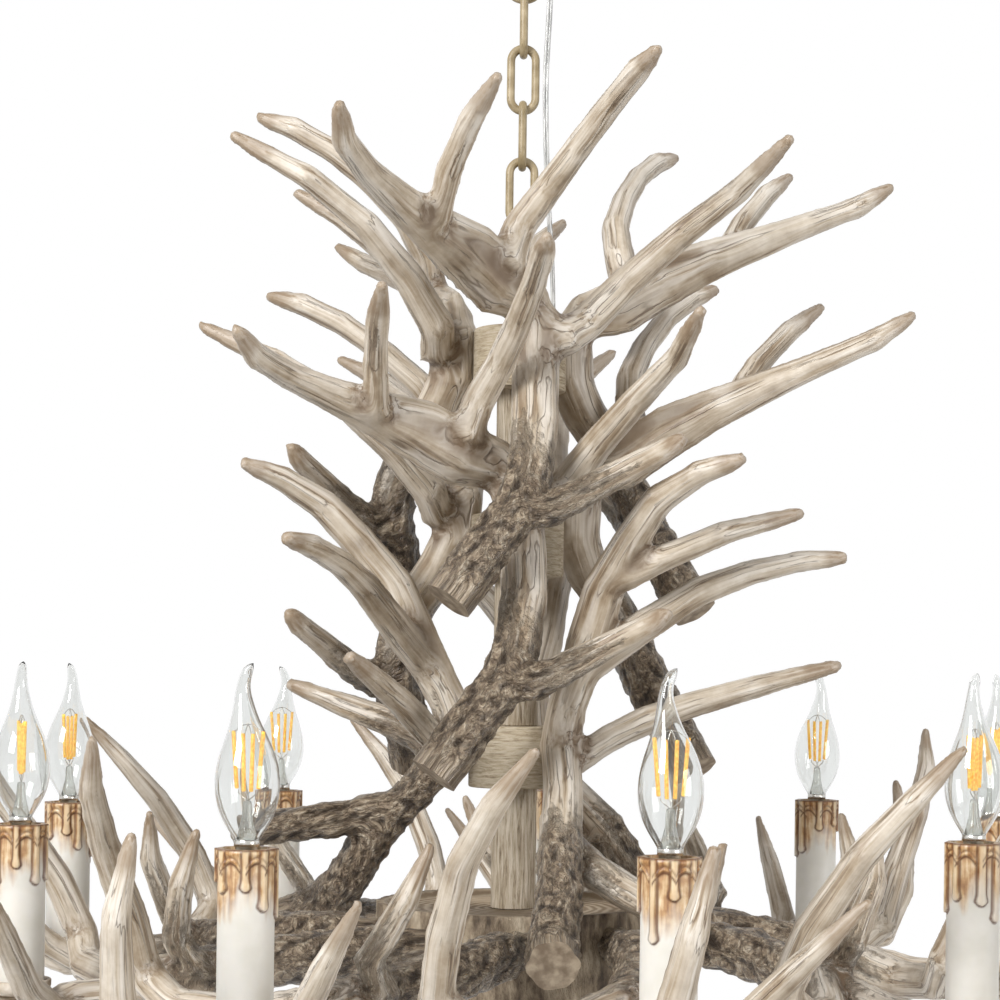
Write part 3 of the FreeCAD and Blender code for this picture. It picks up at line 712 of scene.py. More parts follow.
HUB_RESIN = hub_resin()
low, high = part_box("hub")
HUB_R = high.x / MM
HUB_TOP = high.z / MM
HUB_HEIGHT = 60
DISH_R = 80
DISH = 4
FOOT_R = 62
foot_z = low.z / MM
side_steps = [(HUB_R, HUB_TOP - HUB_HEIGHT * i / 24) for i in range(25)]
hub_outline = [(5.8, HUB_TOP - 40), (5.8, HUB_TOP - DISH), (DISH_R, HUB_TOP - DISH), (DISH_R + 4, HUB_TOP),
               *side_steps, (FOOT_R, HUB_TOP - HUB_HEIGHT), (FOOT_R * 0.93, HUB_TOP - HUB_HEIGHT - 5),
               (FOOT_R * 0.7, foot_z + 4), (FOOT_R * 0.3, foot_z), (0.0, foot_z)]
hub = spun("hub_slice", hub_outline, steps=220)
points, out = coordinates(hub.data), directions(hub.data)
radius = np.hypot(points[:, 0], points[:, 1])
on_side = np.clip((radius - (HUB_R - 6) * MM) / (4 * MM), 0, 1)
knots = layered_noise(points * np.array((95, 95, 45)), 4)
folds = 1 - np.abs(2 * layered_noise(points * np.array((60, 60, 22)) + 3, 3) - 1)
outwards = points * np.array((1, 1, 0)) / np.maximum(radius, 1e-6)[:, None]
points -= outwards * (on_side * (0.0045 * (1 - knots) + 0.0035 * (1 - folds)))[:, None]
move_to(hub.data, points)
hub.data.attributes.new("bark", "FLOAT", "POINT").data.foreach_set("value", on_side.astype(np.float32))
dress(hub, HUB_RESIN, node="hub")
print("hub", round(HUB_R), "mm radius")

# %% [markdown]
# ## Painted steel: links, loops, canopy
# The chain is steel wire bent to ovals, welded on one straight side, and everything on the ceiling is
# painted with it in a satin antique beige. A wire form is a circle carried along its centre line; a curve
# with a round bevel does that exactly, and becomes a mesh once its shape is set.

# %% Painted steel
def painted_steel():
    """Sprayed steel: an even satin coat with a slight orange peel, a little darker and lighter in clouds."""
    material, tree, shader = new_material("antique_beige_paint", Roughness=0.42)
    place = add_node(tree, "TexCoord").outputs["Object"]
    mottle = add_node(tree, "TexNoise", {"Vector": place, "Scale": 1000 / 8.333, "Detail": 4})
    peel = add_node(tree, "TexNoise", {"Vector": place, "Scale": 1000 / 1.1111, "Detail": 2})
    colour = add_node(tree, "ValToRGB", {"Fac": mottle},
                      ((0.3, "#847352"), (0.5, "#9C8B6B"), (0.7, "#AF9F80")))
    relief = add_node(tree, "Bump", {"Height": peel, "Strength": 0.25, "Distance": 0.4 * MM})
    feed(tree, shader, {"Base Color": colour, "Normal": relief})
    return material


STEEL_PAINT = painted_steel()


def wire_form(name, points, radius, closed=True, smooth=10):
    """A wire of one radius, in metres, through points, as a mesh."""
    line = bpy.data.curves.new(name, "CURVE")
    line.dimensions = "3D"
    line.resolution_u = smooth
    line.bevel_depth = radius
    line.bevel_resolution = 5
    line.use_fill_caps = not closed
    run = line.splines.new("BEZIER")
    run.bezier_points.add(len(points) - 1)
    run.use_cyclic_u = closed
    for knot, (place, before, after) in zip(run.bezier_points, points):
        knot.co, knot.handle_left, knot.handle_right = place, before, after
    holder = bpy.data.objects.new(name, line)
    mesh = bpy.data.meshes.new_from_object(holder)
    bpy.data.objects.remove(holder)
    merged = bmesh.new()
    merged.from_mesh(mesh)
    bmesh.ops.remove_doubles(merged, verts=merged.verts, dist=0.000005)
    bmesh.ops.recalc_face_normals(merged, faces=merged.faces)
    merged.to_mesh(mesh)
    merged.free()
    smooth_shaded(mesh)
    return link(name, mesh)


KAPPA = 0.5523


def oval(centre_z, half_width, half_height, edge_on):
    """Bezier knots of a link: two half circles joined by straight sides."""
    knots = []
    straight = half_height - half_width
    pull = half_width * KAPPA
    for side, end in ((1, -1), (1, 1), (0, 1), (-1, 1), (-1, -1), (0, -1)):
        x = side * half_width
        z = end * (straight if side else half_height)
        if side:
            upward = side if side > 0 else -1
            step = Vector((0, 0, pull if end > 0 else -pull))
            near_straight = Vector((0, 0, -end * straight * 0.6))
            before, after = (near_straight, step) if upward * end > 0 else (step, near_straight)
        else:
            before, after = Vector((pull * end, 0, 0)), Vector((-pull * end, 0, 0))
        place = Vector((x, 0, z))
        trio = [place, place + before, place + after]
        if edge_on:
            trio = [Vector((0, p.x, p.z)) for p in trio]
        knots.append([p + Vector((0, 0, centre_z)) for p in trio])
    return knots


WIRE = 2.75 * MM
LINK_HALF_WIDTH = 11 * MM
for number, letter in enumerate("abcde"):
    node = "chain_link_" + letter
    low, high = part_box(node)
    knots = oval((low.z + high.z) / 2, LINK_HALF_WIDTH - WIRE, (high.z - low.z) / 2 - WIRE, number % 2 == 0)
    dress(wire_form(node + "_wire", knots, WIRE), STEEL_PAINT, "link_" + letter, node)
print("five links of %.1f by %.1f mm" % ((high.z - low.z) / MM, 2 * LINK_HALF_WIDTH / MM))

# %% [markdown]
# The loop under the canopy and the eye on top of the column are rings of the same wire, forged on to a stem.
# The stem is turned, so it is spun, and ring and stem are joined in one piece.

# %% Loops: a ring with its stem
def ring_knots(centre_z, radius):
    pull = radius * KAPPA
    knots = []
    for x, z in ((1, 0), (0, 1), (-1, 0), (0, -1)):
        place = Vector((x * radius, 0, centre_z + z * radius))
        turn = Vector((-z * pull, 0, x * pull))
        knots.append((place, place - turn, place + turn))
    return knots


def joined(name, *objects):
    """Several objects as one piece."""
    whole = bmesh.new()
    for item in objects:
        mesh = bpy.data.meshes.new_from_object(item.evaluated_get(bpy.context.evaluated_depsgraph_get()))
        whole.from_mesh(mesh)
        bpy.data.objects.remove(item)
    mesh = bpy.data.meshes.new(name)
    whole.to_mesh(mesh)
    whole.free()
    smooth_shaded(mesh)
    return link(name, mesh)


LOOP_R = 12 * MM
canopy_loop_z = -63 * MM
eye_z = -269.7 * MM
rod_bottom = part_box("eye_rod")[0].z / MM
stem_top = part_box("canopy_loop")[1].z / MM

hanger = joined("canopy_loop_forged", wire_form("hanger_ring", ring_knots(canopy_loop_z, LOOP_R), WIRE),
                soft_edges(spun("hanger_stem", ((0, -49.5), (4.6, -49.5), (5.0, -47), (5.0, -44), (11, -44),
                                                (11, -41.05), (4.9, -41.05), (4.9, stem_top), (0, stem_top))),
                           0.0006))
dress(hanger, STEEL_PAINT, ROOT_BODY, "canopy_loop")
eye_low = eye_z / MM - 12
eye = joined("eye_rod_forged", wire_form("eye_ring", ring_knots(eye_z, LOOP_R), WIRE),
             spun("eye_stem", ((0, eye_low + 1.2), (4.2, eye_low + 0.6), (4.9, eye_low - 2),
                               (4.9, rod_bottom), (0, rod_bottom))))
dress(eye, STEEL_PAINT, LAMP_BODY, "eye_rod")
print("eye at %.1f mm, rod down to %.1f mm" % (eye_z / MM, rod_bottom))

# %% [markdown]
# The canopy is a cup spun from sheet steel, with one wall all the way, so its outline runs down the outside
# and back up the inside. The crossbar above it keeps its CAD mesh, whose shape is right, and gets zinc.

# %% Canopy and bracket
canopy_curve = ((5.6, -41), (22, -41), (27, -40.4), (36, -37.4), (44, -32.4), (51, -26.5), (56, -18.5),
                (59.4, -11), (61.4, -4), (62, -0.1), (60.6, -0.1), (60.0, -4), (58, -11), (54.6, -18),
                (49.6, -25.6), (42.8, -31.3), (35, -36.1), (26.6, -39), (22, -39.5), (5.6, -39.5))
dress(spun("canopy_spun", canopy_curve, steps=72, closed=True), STEEL_PAINT, ROOT_BODY,
      "canopy")
print("canopy", 2 * max(radius for radius, height in canopy_curve), "mm across")


def zinc_steel():
    """Plated strip: a dull grey metal with the spangle of zinc crystals, some lighter than others."""
    material, tree, shader = new_material("zinc_plated_steel", Metallic=1.0, Roughness=0.38)
    place = add_node(tree, "TexCoord").outputs["Object"]
    spangle = add_node(tree, "TexVoronoi", {"Vector": place, "Scale": 1000 / 5.5556}).outputs["Color"]
    grey = add_node(tree, "SeparateColor", {0: spangle})
    colour = add_node(tree, "ValToRGB", {"Fac": grey}, ((0.0, "#8D9092"), (1.0, "#B4B7B8")))
    feed(tree, shader, {"Base Color": colour})
    return material


bracket = NODES["ceiling_bracket"]
bracket.data.materials.clear()
bracket.data.materials.append(zinc_steel())

# %% [markdown]
# ## The supply cord
# A flat twin cord: two stranded cores in clear PVC, side by side. It leaves the canopy, leans against the
# chain and runs down into the top collar. Its line is one smooth NURBS spline through the route's points,
# and the two cores follow points read from that spline.

# %% Cord
CORD_WIDTH = 0.004
ROUTE = ((18.25, 0, -39.5), (17.25, -2, -83.03), (14.75, -1, -126.57), (15.75, -3, -170.1),
         (17.75, 0, -213.63), (21.75, 1, -257.17), (22.25, 0.5, -300.7))


def route_points():
    """Points along the smooth spline of the route, in metres."""
    line = bpy.data.curves.new("cord_route", "CURVE")
    line.dimensions = "3D"
    run = line.splines.new("NURBS")
    run.points.add(len(ROUTE) - 1)
    for knot, (x, y, z) in zip(run.points, ROUTE):
        knot.co = (x * MM, y * MM, z * MM, 1)
    run.order_u = 3
    run.use_endpoint_u = True
    line.resolution_u = 12
    holder = bpy.data.objects.new("cord_route", line)
    mesh = bpy.data.meshes.new_from_object(holder)
    places = [v.co.copy() for v in mesh.vertices]
    bpy.data.objects.remove(holder)
    return places


def twin_tube(name, places, width):
    """Two round cores side by side along the places, turning slowly about each other."""
    tube = bmesh.new()
    core = width / 4
    for side in (-1, 1):
        rings = []
        for number, place in enumerate(places):
            after = places[min(number + 1, len(places) - 1)]
            before = places[max(number - 1, 0)]
            along = (after - before).normalized()
            twist = 0.5 + 1.4 * number / len(places)
            across = Matrix.Rotation(twist, 3, along) @ along.orthogonal().normalized()
            lift = along.cross(across)
            upright = Matrix((across, lift, along)).transposed().to_4x4()
            ring = bmesh.ops.create_circle(tube, segments=12, radius=core,
                                           matrix=Matrix.Translation(place + across * (side * core)) @ upright)
            rings.append(list(dict.fromkeys(edge for corner in ring["verts"] for edge in corner.link_edges)))
        for upper, lower in zip(rings, rings[1:]):
            bmesh.ops.bridge_loops(tube, edges=upper + lower)
        for end in (rings[0], rings[-1]):
            bmesh.ops.edgeloop_fill(tube, edges=end)
    bmesh.ops.recalc_face_normals(tube, faces=tube.faces)
    mesh = bpy.data.meshes.new(name)
    tube.to_mesh(mesh)
    tube.free()
    smooth_shaded(mesh)
    return link(name, mesh)


def clear_pvc():
    """Clear PVC drawn over tinned strands: glassy outside, silver-grey lines showing through it."""
    material, tree, shader = new_material("clear_pvc_over_strands", Roughness=0.18, IOR=1.53,
                                          Transmission_Weight=0.45)
    place = add_node(tree, "TexCoord").outputs["Object"]
    # the strands are finer than this, and are drawn as coarse as the picture can show
    long_way = add_node(tree, "Mapping", {"Vector": place,
                                          "Scale": (1000 / 1.1111, 1000 / 1.1111, 1000 / 16.667)})
    strand = add_node(tree, "TexNoise", {"Vector": long_way, "Scale": 1.0, "Detail": 2})
    colour = add_node(tree, "ValToRGB", {"Fac": strand},
                      ((0.35, "#9B9B99"), (0.5, "#D8D8D6"), (0.62, "#F0F0EE")))
    feed(tree, shader, {"Base Color": colour})
    return material


cord_line = route_points()
cord = twin_tube("supply_cord_twin", cord_line, CORD_WIDTH)
dress(cord, clear_pvc(), ROOT_BODY, "supply_cord")

# %% [markdown]
# ## Candle sleeves
# A moulded sleeve in ivory plastic with sham wax: a thick rolled rim, swags under it, and drips of different
# lengths that end in a bead. An amber glaze lies on the rim and the drips and fades down the sleeve. The
# tube is a spun grid, and the wax is lifted out of it by a height worked out for each point.

# %% Sleeve with drips
SLEEVE_R = 15.25
SLEEVE_BORE = 12.4
SLEEVE_H = 98
sleeve_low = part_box("candle_sleeve_1")[0].z
sleeve_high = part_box("candle_sleeve_1")[1].z


def sleeve_resin():
    """Moulded plastic, glazed by hand: waxy white below, amber above, dark lines round each drip that are
    partly painted shade, painted shadows under the beads and swags, and a painted highlight on the raised wax.
    """
    material, tree, shader = new_material("dripped_ivory_plastic", Roughness=0.38, Subsurface_Weight=0.12,
                                          Subsurface_Radius=(0.004, 0.003, 0.002))
    place = add_node(tree, "TexCoord").outputs["Object"]
    wax, glaze, glaze_line_and_painted_shade = (add_node(tree, "Attribute", attribute_name=name).outputs["Fac"]
                          for name in ("wax", "glaze", "glaze_line_and_painted_shade"))
    cloud = add_node(tree, "TexNoise", {"Vector": place, "Scale": 1000 / 6.25, "Detail": 4})
    smear = add_node(tree, "TexNoise", {"Vector": place, "Scale": 1000 / 22.22, "Detail": 3})
    ivory = add_node(tree, "ValToRGB", {"Fac": smear}, ((0.35, "#DAD6CC"), (0.6, "#E3DFD7")))
    tall = add_node(tree, "Mapping", {"Vector": place, "Scale": (1, 1, 0.12)})
    run_off = add_node(tree, "TexNoise", {"Vector": tall, "Scale": 1000 / 2.381, "Detail": 4})
    clouded = add_node(tree, "Math", {0: cloud, 1: 0.4}, operation="MULTIPLY")
    mixed = add_node(tree, "Math", {0: run_off, 1: 0.6, 2: clouded}, operation="MULTIPLY_ADD")
    amber = add_node(tree, "ValToRGB", {"Fac": mixed},
                     ((0.36, "#8A5B31"), (0.46, "#B58957"), (0.55, "#D3B489"), (0.66, "#E8D5B6")))
    # raised wax turns cream: partly the wax's own colour and partly a painted highlight on every drip and swag
    raised = add_node(tree, "MapRange", {0: wax, 1: 0.7, 2: 1.0, 3: 0, 4: 0.65})
    lit = add_node(tree, "Mix", {0: raised, 6: amber, 7: ink("#E4CFAD")}, data_type="RGBA")
    glazed = add_node(tree, "Mix", {0: glaze, 6: ivory, 7: lit}, data_type="RGBA")
    # the dark lines are glaze round the wax and painted shade at its edges, with painted shadows under the
    # beads and swags
    colour = add_node(tree, "Mix", {0: glaze_line_and_painted_shade, 6: glazed, 7: ink("#5C3517")}, data_type="RGBA")
    sheen = add_node(tree, "MapRange", {0: wax, 1: 0, 2: 1, 3: 0.45, 4: 0.28})
    feed(tree, shader, {"Base Color": colour, "Roughness": sheen})
    return material


SLEEVE_PLASTIC = sleeve_resin()


WAXED = 56
WAX_ROWS = 92
PLAIN_ROWS = 10
AROUND = 160
DRIPS = 8
DRIP_HEIGHT = 1.9 * MM
SWAG_HEIGHT = 1.2 * MM
LINE = 0.9 * MM
STAINED = 52 * MM


def dripped_sleeve(name, centre, seed):
    """A sleeve with its own drips: a spun tube whose wall is lifted, with how waxy and brown it is and where
    its dark lines and painted shadows lie.
    """
    plain = list(np.linspace(0, SLEEVE_H - WAXED, PLAIN_ROWS, endpoint=False))
    rows = plain + list(np.linspace(SLEEVE_H - WAXED, SLEEVE_H, WAX_ROWS))
    outline = [(SLEEVE_BORE, 0), *((SLEEVE_R, float(row)) for row in rows), (SLEEVE_BORE, SLEEVE_H),
               (SLEEVE_BORE, SLEEVE_H - 30)]
    piece = spun(name, outline, steps=AROUND, closed=True)
    mesh = piece.data
    points = coordinates(mesh)
    angle = np.arctan2(points[:, 1], points[:, 0])
    from_top = SLEEVE_H * MM - points[:, 2]
    outside = np.hypot(points[:, 0], points[:, 1]) > (SLEEVE_R - 0.5) * MM
    chance = np.random.default_rng(40 + seed)
    height = np.exp(-((from_top - 2.0 * MM) / (2.0 * MM)) ** 2) * SWAG_HEIGHT
    glaze_line_and_painted_shade = np.exp(-((from_top - 0.2 * MM) / (0.7 * MM)) ** 2)
    for number in range(DRIPS):
        where = 2 * math.pi * (number + chance.uniform(-0.2, 0.2)) / DRIPS
        run = chance.uniform(17 * MM, 46 * MM)
        half = chance.uniform(2.0 * MM, 2.9 * MM)
        offset = np.abs((angle - where + math.pi) % (2 * math.pi) - math.pi) * SLEEVE_R * MM
        swell = 1 + 0.35 * np.exp(-((from_top - run + 2 * MM) / (3.0 * MM)) ** 2)
        tail = np.clip((from_top - run + half) / half, 0, 1)
        width = half * swell * np.sqrt(np.clip(1 - tail ** 2, 0.0001, 1))
        across = np.clip(1 - (offset / width) ** 2, 0, 1)
        height = np.maximum(height, DRIP_HEIGHT * np.sqrt(across) * (from_top < run))
        # a dark line along each side of the drip: glaze at its edge and painted shade
        beside = np.clip(1.3 - np.abs(offset - width * 1.06) / LINE, 0, 1) * (from_top < run + 0.4 * MM)
        glaze_line_and_painted_shade = np.maximum(glaze_line_and_painted_shade, beside * 0.85)
        # a painted shadow round the underside of the bead
        from_bead = np.hypot(offset, from_top - run + half)
        under = np.clip(1 - np.abs(from_bead - half * 1.25) / LINE, 0, 1)
        glaze_line_and_painted_shade = np.maximum(glaze_line_and_painted_shade, under * (from_top > run - half) * 0.9)

        middle = where + math.pi / DRIPS
        aside = np.abs((angle - middle + math.pi) % (2 * math.pi) - math.pi) / (math.pi / DRIPS)
        swag = 5.6 * MM + 5.8 * MM * aside ** 2
        near = aside < 1
        arch = SWAG_HEIGHT * np.exp(-((from_top - swag) / (1.0 * MM)) ** 2)
        height = np.where(near, np.maximum(height, arch), height)
        # a painted shadow under the swag, and a fainter dark line above it
        below = 0.95 * np.exp(-((from_top - swag - 1.7 * MM) / LINE) ** 2)
        above = 0.6 * np.exp(-((from_top - swag + 1.8 * MM) / LINE) ** 2)
        glaze_line_and_painted_shade = np.where(near, np.maximum(glaze_line_and_painted_shade, np.maximum(below, above)), glaze_line_and_painted_shade)
    height *= outside
    wax = np.clip(height / (1.8 * MM), 0, 1)
    uneven = 40 * MM * (layered_noise(points * np.array((130, 130, 30)) + seed, 3) - 0.5)
    fade = np.clip((29 * MM + uneven - from_top) / (16 * MM) + 0.5, 0, 1)
    glaze = np.clip(0.35 * wax * (from_top < STAINED) + 0.92 * fade, 0, 1)
    points += unit(points * np.array((1, 1, 0))) * height[:, None]
    points += np.array((centre[0], centre[1], sleeve_low))
    move_to(mesh, points)
    for label, values in (("wax", wax), ("glaze", glaze), ("glaze_line_and_painted_shade", glaze_line_and_painted_shade * outside * (from_top < STAINED))):
        mesh.attributes.new(label, "FLOAT", "POINT").data.foreach_set("value", values.astype(np.float32))
    return piece


# %% [markdown]
# ## Clear flame bulbs
# A thin glass envelope blown to a flame, its tip drawn out, bent over and sealed with a bead. Inside, four
# filament sticks stand on a pressed glass stem between two wires, and the screw cap shows a few millimetres
# of its collar. The envelope is one wall with an inner and an outer face, as thick as real bulb glass, so that
# light passes through it nearly straight.

# %% Bulb materials
def blown_glass():
    """Blown soda glass: colourless, dark only at its outline, with sharp small reflections."""
    return new_material("blown_soda_glass", Roughness=0.0, IOR=1.5, Transmission_Weight=1.0,
                        Base_Color=ink("#F2F3F2"))[0]


def phosphor():
    """Phosphor in silicone on a glass stick: grainy yellow, with a painted glow, since the bulb is off."""
    material, tree, shader = new_material("filament_phosphor_painted_glow", Roughness=0.5, Emission_Strength=0.45)
    place = add_node(tree, "TexCoord").outputs["Object"]
    grit = add_node(tree, "TexNoise", {"Vector": place, "Scale": 1000 / 1.6667})
    colour = add_node(tree, "ValToRGB", {"Fac": grit}, ((0.35, "#EFA93A"), (0.65, "#F8CF62")))
    # the emission is a painted glow: the bulb is not lit
    feed(tree, shader, {"Base Color": colour, "Emission Color": colour})
    return material


def bright_nickel():
    """Rolled brass, nickel plated: a bright, slightly warm metal with soft reflections."""
    material, tree, shader = new_material("nickel_plated_brass", Metallic=1.0, Roughness=0.22)
    place = add_node(tree, "TexCoord").outputs["Object"]
    wear = add_node(tree, "TexNoise", {"Vector": place, "Scale": 1000 / 3.3333, "Detail": 3})
    colour = add_node(tree, "ValToRGB", {"Fac": wear}, ((0.3, "#B9B6AF"), (0.7, "#DAD8D3")))
    feed(tree, shader, {"Base Color": colour})
    return material


GLASS = blown_glass()
PHOSPHOR = phosphor()
NICKEL = bright_nickel()
print("bulb materials:", GLASS.name, PHOSPHOR.name, NICKEL.name)

# %% [markdown]
# The glass is drawn straight first, as a half outline, then each of its points is carried over to a middle
# line that leans one way and hooks the other at the tip. Bending the finished form keeps the wall's thickness.

# %% The envelope
# radius of the glass and the length along its middle line, in mm, from the cap to the bead
FLAME = ((0, 6.6), (2, 7.4), (8, 11.6), (16, 15.4), (24, 17.1), (31, 17.5), (39, 16.7), (47, 14.6), (55, 11.4),
         (63, 8.1), (71, 5.8), (78, 4.3), (84, 3.4), (89, 3.0), (93, 3.0), (95.6, 2.2), (96.4, 0))
INNER_TOP = 95.2
# how far the middle line of the glass leans, in degrees, at each length along it in mm
LEAN = ((0, 0), (30, 0), (56, -6), (76, -5), (86, 14), (92, 34), (97, 46))


def rounded_profile(stations, steps):
    """More points along a half outline, on a smooth line through the stations."""
    heights_up = [s[0] for s in stations]
    radii = [s[1] for s in stations]
    fine = np.linspace(heights_up[0], heights_up[-1], steps)
    line = np.interp(fine, heights_up, radii)
    for _ in range(6):
        line[1:-1] = 0.25 * line[:-2] + 0.5 * line[1:-1] + 0.25 * line[2:]
    return [(max(r, 0), h) for r, h in zip(line, fine)]


def hooked(points):
    """Points of a straight glass, in mm, carried over to the leaning middle line."""
    fine = np.linspace(0, 100, 401)
    turn = np.radians(np.interp(fine, *zip(*LEAN)))
    across = np.concatenate([[0], np.cumsum(np.sin(turn[1:]) * 0.25)])
    up = np.concatenate([[0], np.cumsum(np.cos(turn[1:]) * 0.25)])
    here = np.interp(points[:, 2], fine, turn)
    bent = points.copy()
    bent[:, 0] = np.interp(points[:, 2], fine, across) + points[:, 0] * np.cos(here)
    bent[:, 2] = np.interp(points[:, 2], fine, up) - points[:, 0] * np.sin(here)
    return bent


def stood(piece, spot, turn):
    """A piece made in metres about its own axis, turned and set at its place."""
    piece.data.transform(Matrix.Translation(spot) @ Matrix.Rotation(turn, 4, "Z"))
    piece.data.update()
    return piece


def envelope(name, spot, turn):
    wall = 0.6
    outer = rounded_profile(FLAME, 64)
    outer[-1] = (0, outer[-1][1])
    inner = [((r - wall) * min(1, (INNER_TOP - h) / 6) ** 0.5, h) for r, h in outer if h < INNER_TOP]
    inner += [(0, INNER_TOP)]
    glass = spun(name, [*outer[::-1], *inner], steps=40, closed=False)
    points = coordinates(glass.data) / MM
    move_to(glass.data, hooked(points) * MM)
    return stood(glass, spot, turn)


# %% [markdown]
# Inside the glass a pressed stem carries the wires, and between the wires stand four sticks coated with
# phosphor. They are what makes the bulb look like a real lamp, so each is its own piece.

# %% What stands inside the glass
# each wire's three points, as distance from the bulb's axis and height, in mm
LEADS = (((0, 21), (-5.2, 25), (-5.6, 27)), ((0, 21), (5.2, 25), (5.6, 27)),
         ((0, 21), (0, 24), (-1.8, 26.5)), ((-8.4, 58), (-4, 61), (0, 62)), ((8.4, 58), (4, 61), (0, 62)),
         ((-2.1, 56.5), (-1, 60), (0, 62)), ((2.1, 56.5), (1, 60), (0, 62)), ((0, 21), (0, 24), (1.8, 26.5)))
STICK_FEET = (-9, -3, 3, 9)
STICK = 31
STICK_LOW = 26


def inside_parts(tag, spot, turn):
    """Stem, wires and four filament sticks, and the cap under the glass."""
    cap = stood(spun("bulb_cap" + tag, ((0, -25), (4, -25), (6.2, -22), (6.2, -3.6), (6.9, -3), (6.9, 0.4),
                                        (6.2, 1.0), (0, 1.0))), spot, turn)
    stem = stood(spun("bulb_stem" + tag, ((0, 1.1), (5.6, 1.1), (4.4, 6), (2.9, 12), (2.5, 19), (2.1, 21),
                                          (0, 21.6)), steps=24), spot, turn)
    made = [(cap, NICKEL), (stem, STEM_GLASS)]
    for number, side in enumerate(STICK_FEET):
        low_z = STICK_LOW + (1.5 if number in (0, 3) else 0)
        stick = spun("filament%s_%d" % (tag, number + 1),
                     ((0, 0), (0.9, 0.1), (1.15, 0.6), (1.15, STICK - 0.6), (0.9, STICK - 0.1), (0, STICK)),
                     steps=12)
        lean = Matrix.Rotation(math.radians(side * 0.55), 4, "Y")
        stick.data.transform(Matrix.Translation((side * MM * 0.75, 0, low_z * MM)) @ lean)
        made.append((stood(stick, spot, turn), PHOSPHOR))
    wires = []
    for line in LEADS:
        knots = []
        for i, (x, z) in enumerate(line):
            place = Vector((x * MM, 0, z * MM))
            after = Vector((line[min(i + 1, 2)][0] * MM, 0, line[min(i + 1, 2)][1] * MM))
            before = Vector((line[max(i - 1, 0)][0] * MM, 0, line[max(i - 1, 0)][1] * MM))
            pull = (after - before) / 6
            knots.append((place, place - pull, place + pull))
        wires.append(wire_form("lead", knots, 0.00028, closed=False, smooth=4))
    made.append((stood(joined("bulb_wires" + tag, *wires), spot, turn), NICKEL))
    return made


def stem_glass():
    """Pressed lead glass: a thicker, greyer stem that bends what is seen through it."""
    return new_material("pressed_lead_glass", Roughness=0.05, IOR=1.52, Transmission_Weight=0.8,
                        Base_Color=ink("#EDEFEA"))[0]


def cup_resin():
    """Cast and glazed with the arm: the same bone, with the brown in soft clouds."""
    material, tree, shader = new_material("glazed_cup_resin", Roughness=0.5)
    place = add_node(tree, "TexCoord").outputs["Object"]
    cloud = add_node(tree, "TexNoise", {"Vector": place, "Scale": 1000 / 11.111, "Detail": 5})
    fine = add_node(tree, "TexNoise", {"Vector": place, "Scale": 1000 / 2.381, "Detail": 3})
    colour = add_node(tree, "ValToRGB", {"Fac": cloud},
                      ((0.33, "#8F7C66"), (0.47, "#BBAB97"), (0.64, "#E2D9CC")))
    relief = add_node(tree, "Bump", {"Height": fine, "Strength": 0.4, "Distance": 0.8 * MM})
    feed(tree, shader, {"Base Color": colour, "Normal": relief})
    return material


STEM_GLASS = stem_glass()
CUP_RESIN = cup_resin()
print("the wires end", max(z for line in LEADS for x, z in line), "mm up in the bulb")

# %% [markdown]
# Nine lights stand on a ring, 40 degrees apart. Each has its cup, its sleeve with its own drips, and its bulb,
# turned so that all the tips bend sideways seen from the middle.

# %% Nine lights
CANDLES = 9
FIRST_TURN = math.radians(-25.6)
RING_R = 329 * MM
CAP_SHOWS = 4 * MM

for number in range(CANDLES):
    turn = FIRST_TURN + 2 * math.pi * number / CANDLES
    x, y = RING_R * math.sin(turn), -RING_R * math.cos(turn)
    tag = "_%d" % (number + 1)
    low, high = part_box("lamp_holder" + tag)
    bottom, holder_top = low.z / MM, high.z / MM
    cup = spun("cup_and_holder" + tag,
               ((0, bottom), (14.5, bottom), (18.2, bottom + 2.2), (19.4, bottom + 5), (19.5, bottom + 8.4),
                (18.8, bottom + 9), (17.2, bottom + 8.6), (16.2, bottom + 5.2), (11.4, bottom + 5),
                (11.4, holder_top), (8.4, holder_top), (8.4, holder_top - 26), (0, holder_top - 26)),
               centre=(x, y))
    dress(soft_edges(cup, 0.0005, 2), CUP_RESIN, node="lamp_holder" + tag)
    sleeve = dripped_sleeve("dripped_sleeve" + tag, (x, y), number)
    dress(sleeve, SLEEVE_PLASTIC, node="candle_sleeve" + tag)
    spot = Vector((x, y, sleeve_high + CAP_SHOWS))
    glass = envelope("flame_glass" + tag, spot, turn)
    dress(glass, GLASS, node="bulb" + tag)
    for piece, material in inside_parts(tag, spot, turn):
        dress(piece, material)
print("nine lights, bulbs from %.1f mm" % (spot.z / MM))

# %% [markdown]
# ## Floor, backdrop and light
# The photograph is a cut-out on white. A floor far below and a backdrop behind are white to the camera and to
# mirror-like surfaces, through Light Path, and stay ordinary pale surfaces to the light, so the floor keeps
# the shadow. A broad soft lamp from the upper left gives the form, and the white world fills in the rest.

# %% Stage
def seen_plainly(tree):
    """1 for a ray from the camera, off a shiny surface or through glass, and 0 for the light's own."""
    rays = add_node(tree, "LightPath")
    through = add_node(tree, "Math", {0: rays.outputs["Is Glossy Ray"], 1: rays.outputs["Is Transmission Ray"]},
                       operation="MAXIMUM")
    return add_node(tree, "Math", {0: rays.outputs["Is Camera Ray"], 1: through}, operation="MAXIMUM")


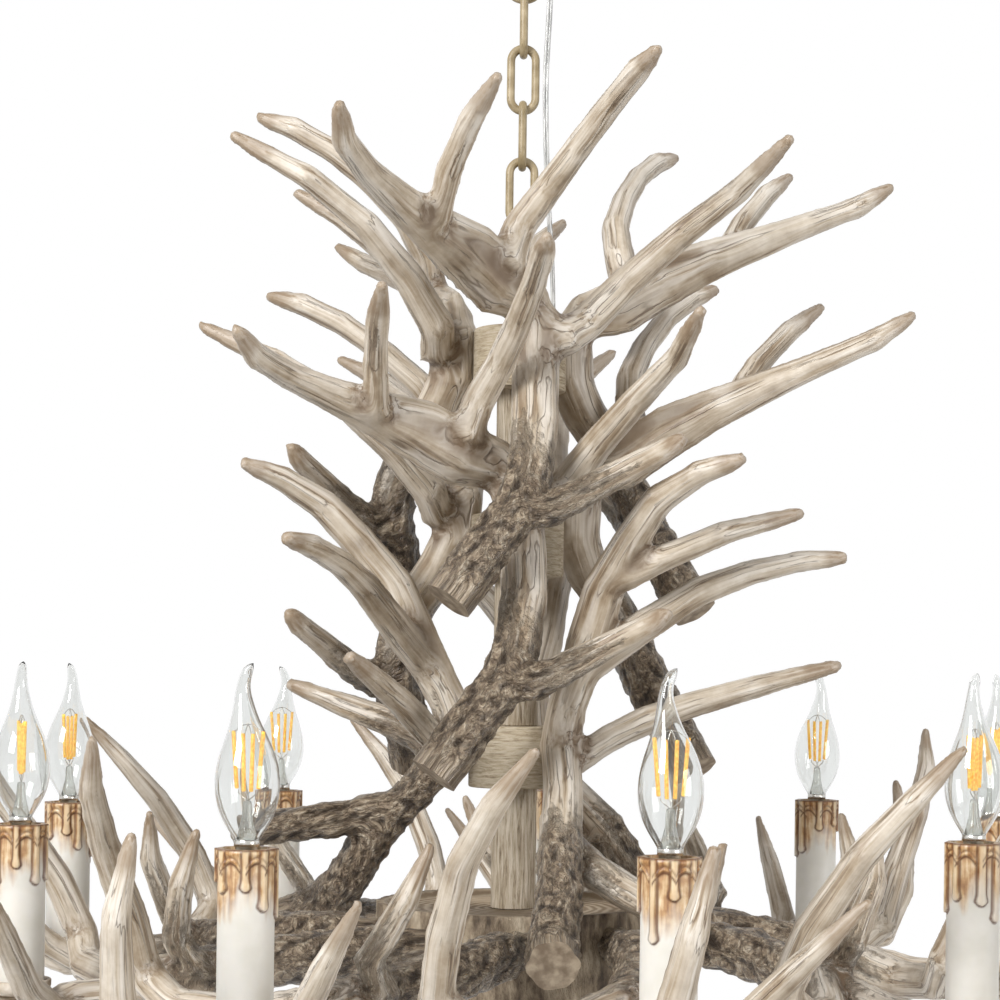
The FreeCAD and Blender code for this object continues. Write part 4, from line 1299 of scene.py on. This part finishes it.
def white_surface(name):
    """Seamless paper: plain white in the picture, and a matt pale surface to the lamps."""
    material, tree, shader = new_material(name, Roughness=0.9, Base_Color=ink("#E8E8E8"))
    shine = add_node(tree, "Emission", {"Color": (1, 1, 1, 1), "Strength": 1.0})
    mix = add_node(tree, "MixShader", {0: seen_plainly(tree), 1: shader, 2: shine})
    feed(tree, tree.nodes["Material Output"], {"Surface": mix})
    return material


def stage_sheet(name, spot, size, upright, material):
    sheet = bmesh.new()
    bmesh.ops.create_grid(sheet, x_segments=1, y_segments=1, size=size / 2)
    if upright:
        bmesh.ops.rotate(sheet, verts=sheet.verts, cent=(0, 0, 0), matrix=Matrix.Rotation(math.pi / 2, 3, "X"))
    bmesh.ops.translate(sheet, verts=sheet.verts, vec=spot)
    mesh = bpy.data.meshes.new(name)
    sheet.to_mesh(mesh)
    sheet.free()
    mesh.materials.append(material)
    piece = link(name, mesh)
    return piece


FLOOR_PAPER = white_surface("white_paper_floor")
BACKDROP_PAPER = white_surface("white_paper_backdrop")
stage_sheet("floor", (0, 0, -2.0), 14, False, FLOOR_PAPER)
stage_sheet("backdrop", (0, 4.5, 3.0), 14, True, BACKDROP_PAPER)

world = bpy.data.worlds.new("studio")
bpy.context.scene.world = world
world.use_nodes = True
sky = world.node_tree.nodes["Background"]
AMBIENT = 0.40
air = world.node_tree
level = add_node(air, "MapRange", {0: seen_plainly(air), 1: 0, 2: 1, 3: AMBIENT, 4: 1.0})
feed(air, sky, {"Color": (1, 1, 1, 1), "Strength": level})
print("world light", AMBIENT)


def soft_lamp(name, place, size, watts):
    """A square area lamp that faces the middle of the chandelier."""
    lamp = bpy.data.lights.new(name, "AREA")
    lamp.size = size
    lamp.energy = watts
    piece = bpy.data.objects.new(name, lamp)
    bpy.context.scene.collection.objects.link(piece)
    piece.location = place
    piece.rotation_euler = (Vector((0, 0, -0.5)) - Vector(place)).to_track_quat("-Z", "Y").to_euler()
    return piece


soft_lamp("key_lamp", (-1.6, -2.2, 0.9), 1.2, 94)
soft_lamp("fill_lamp", (2.4, -1.8, -0.2), 1.4, 34)

# %% [markdown]
# ## Colour
# The Standard view shows a colour as it is written.

# %% Finish
bpy.context.scene.view_settings.view_transform = "Standard"
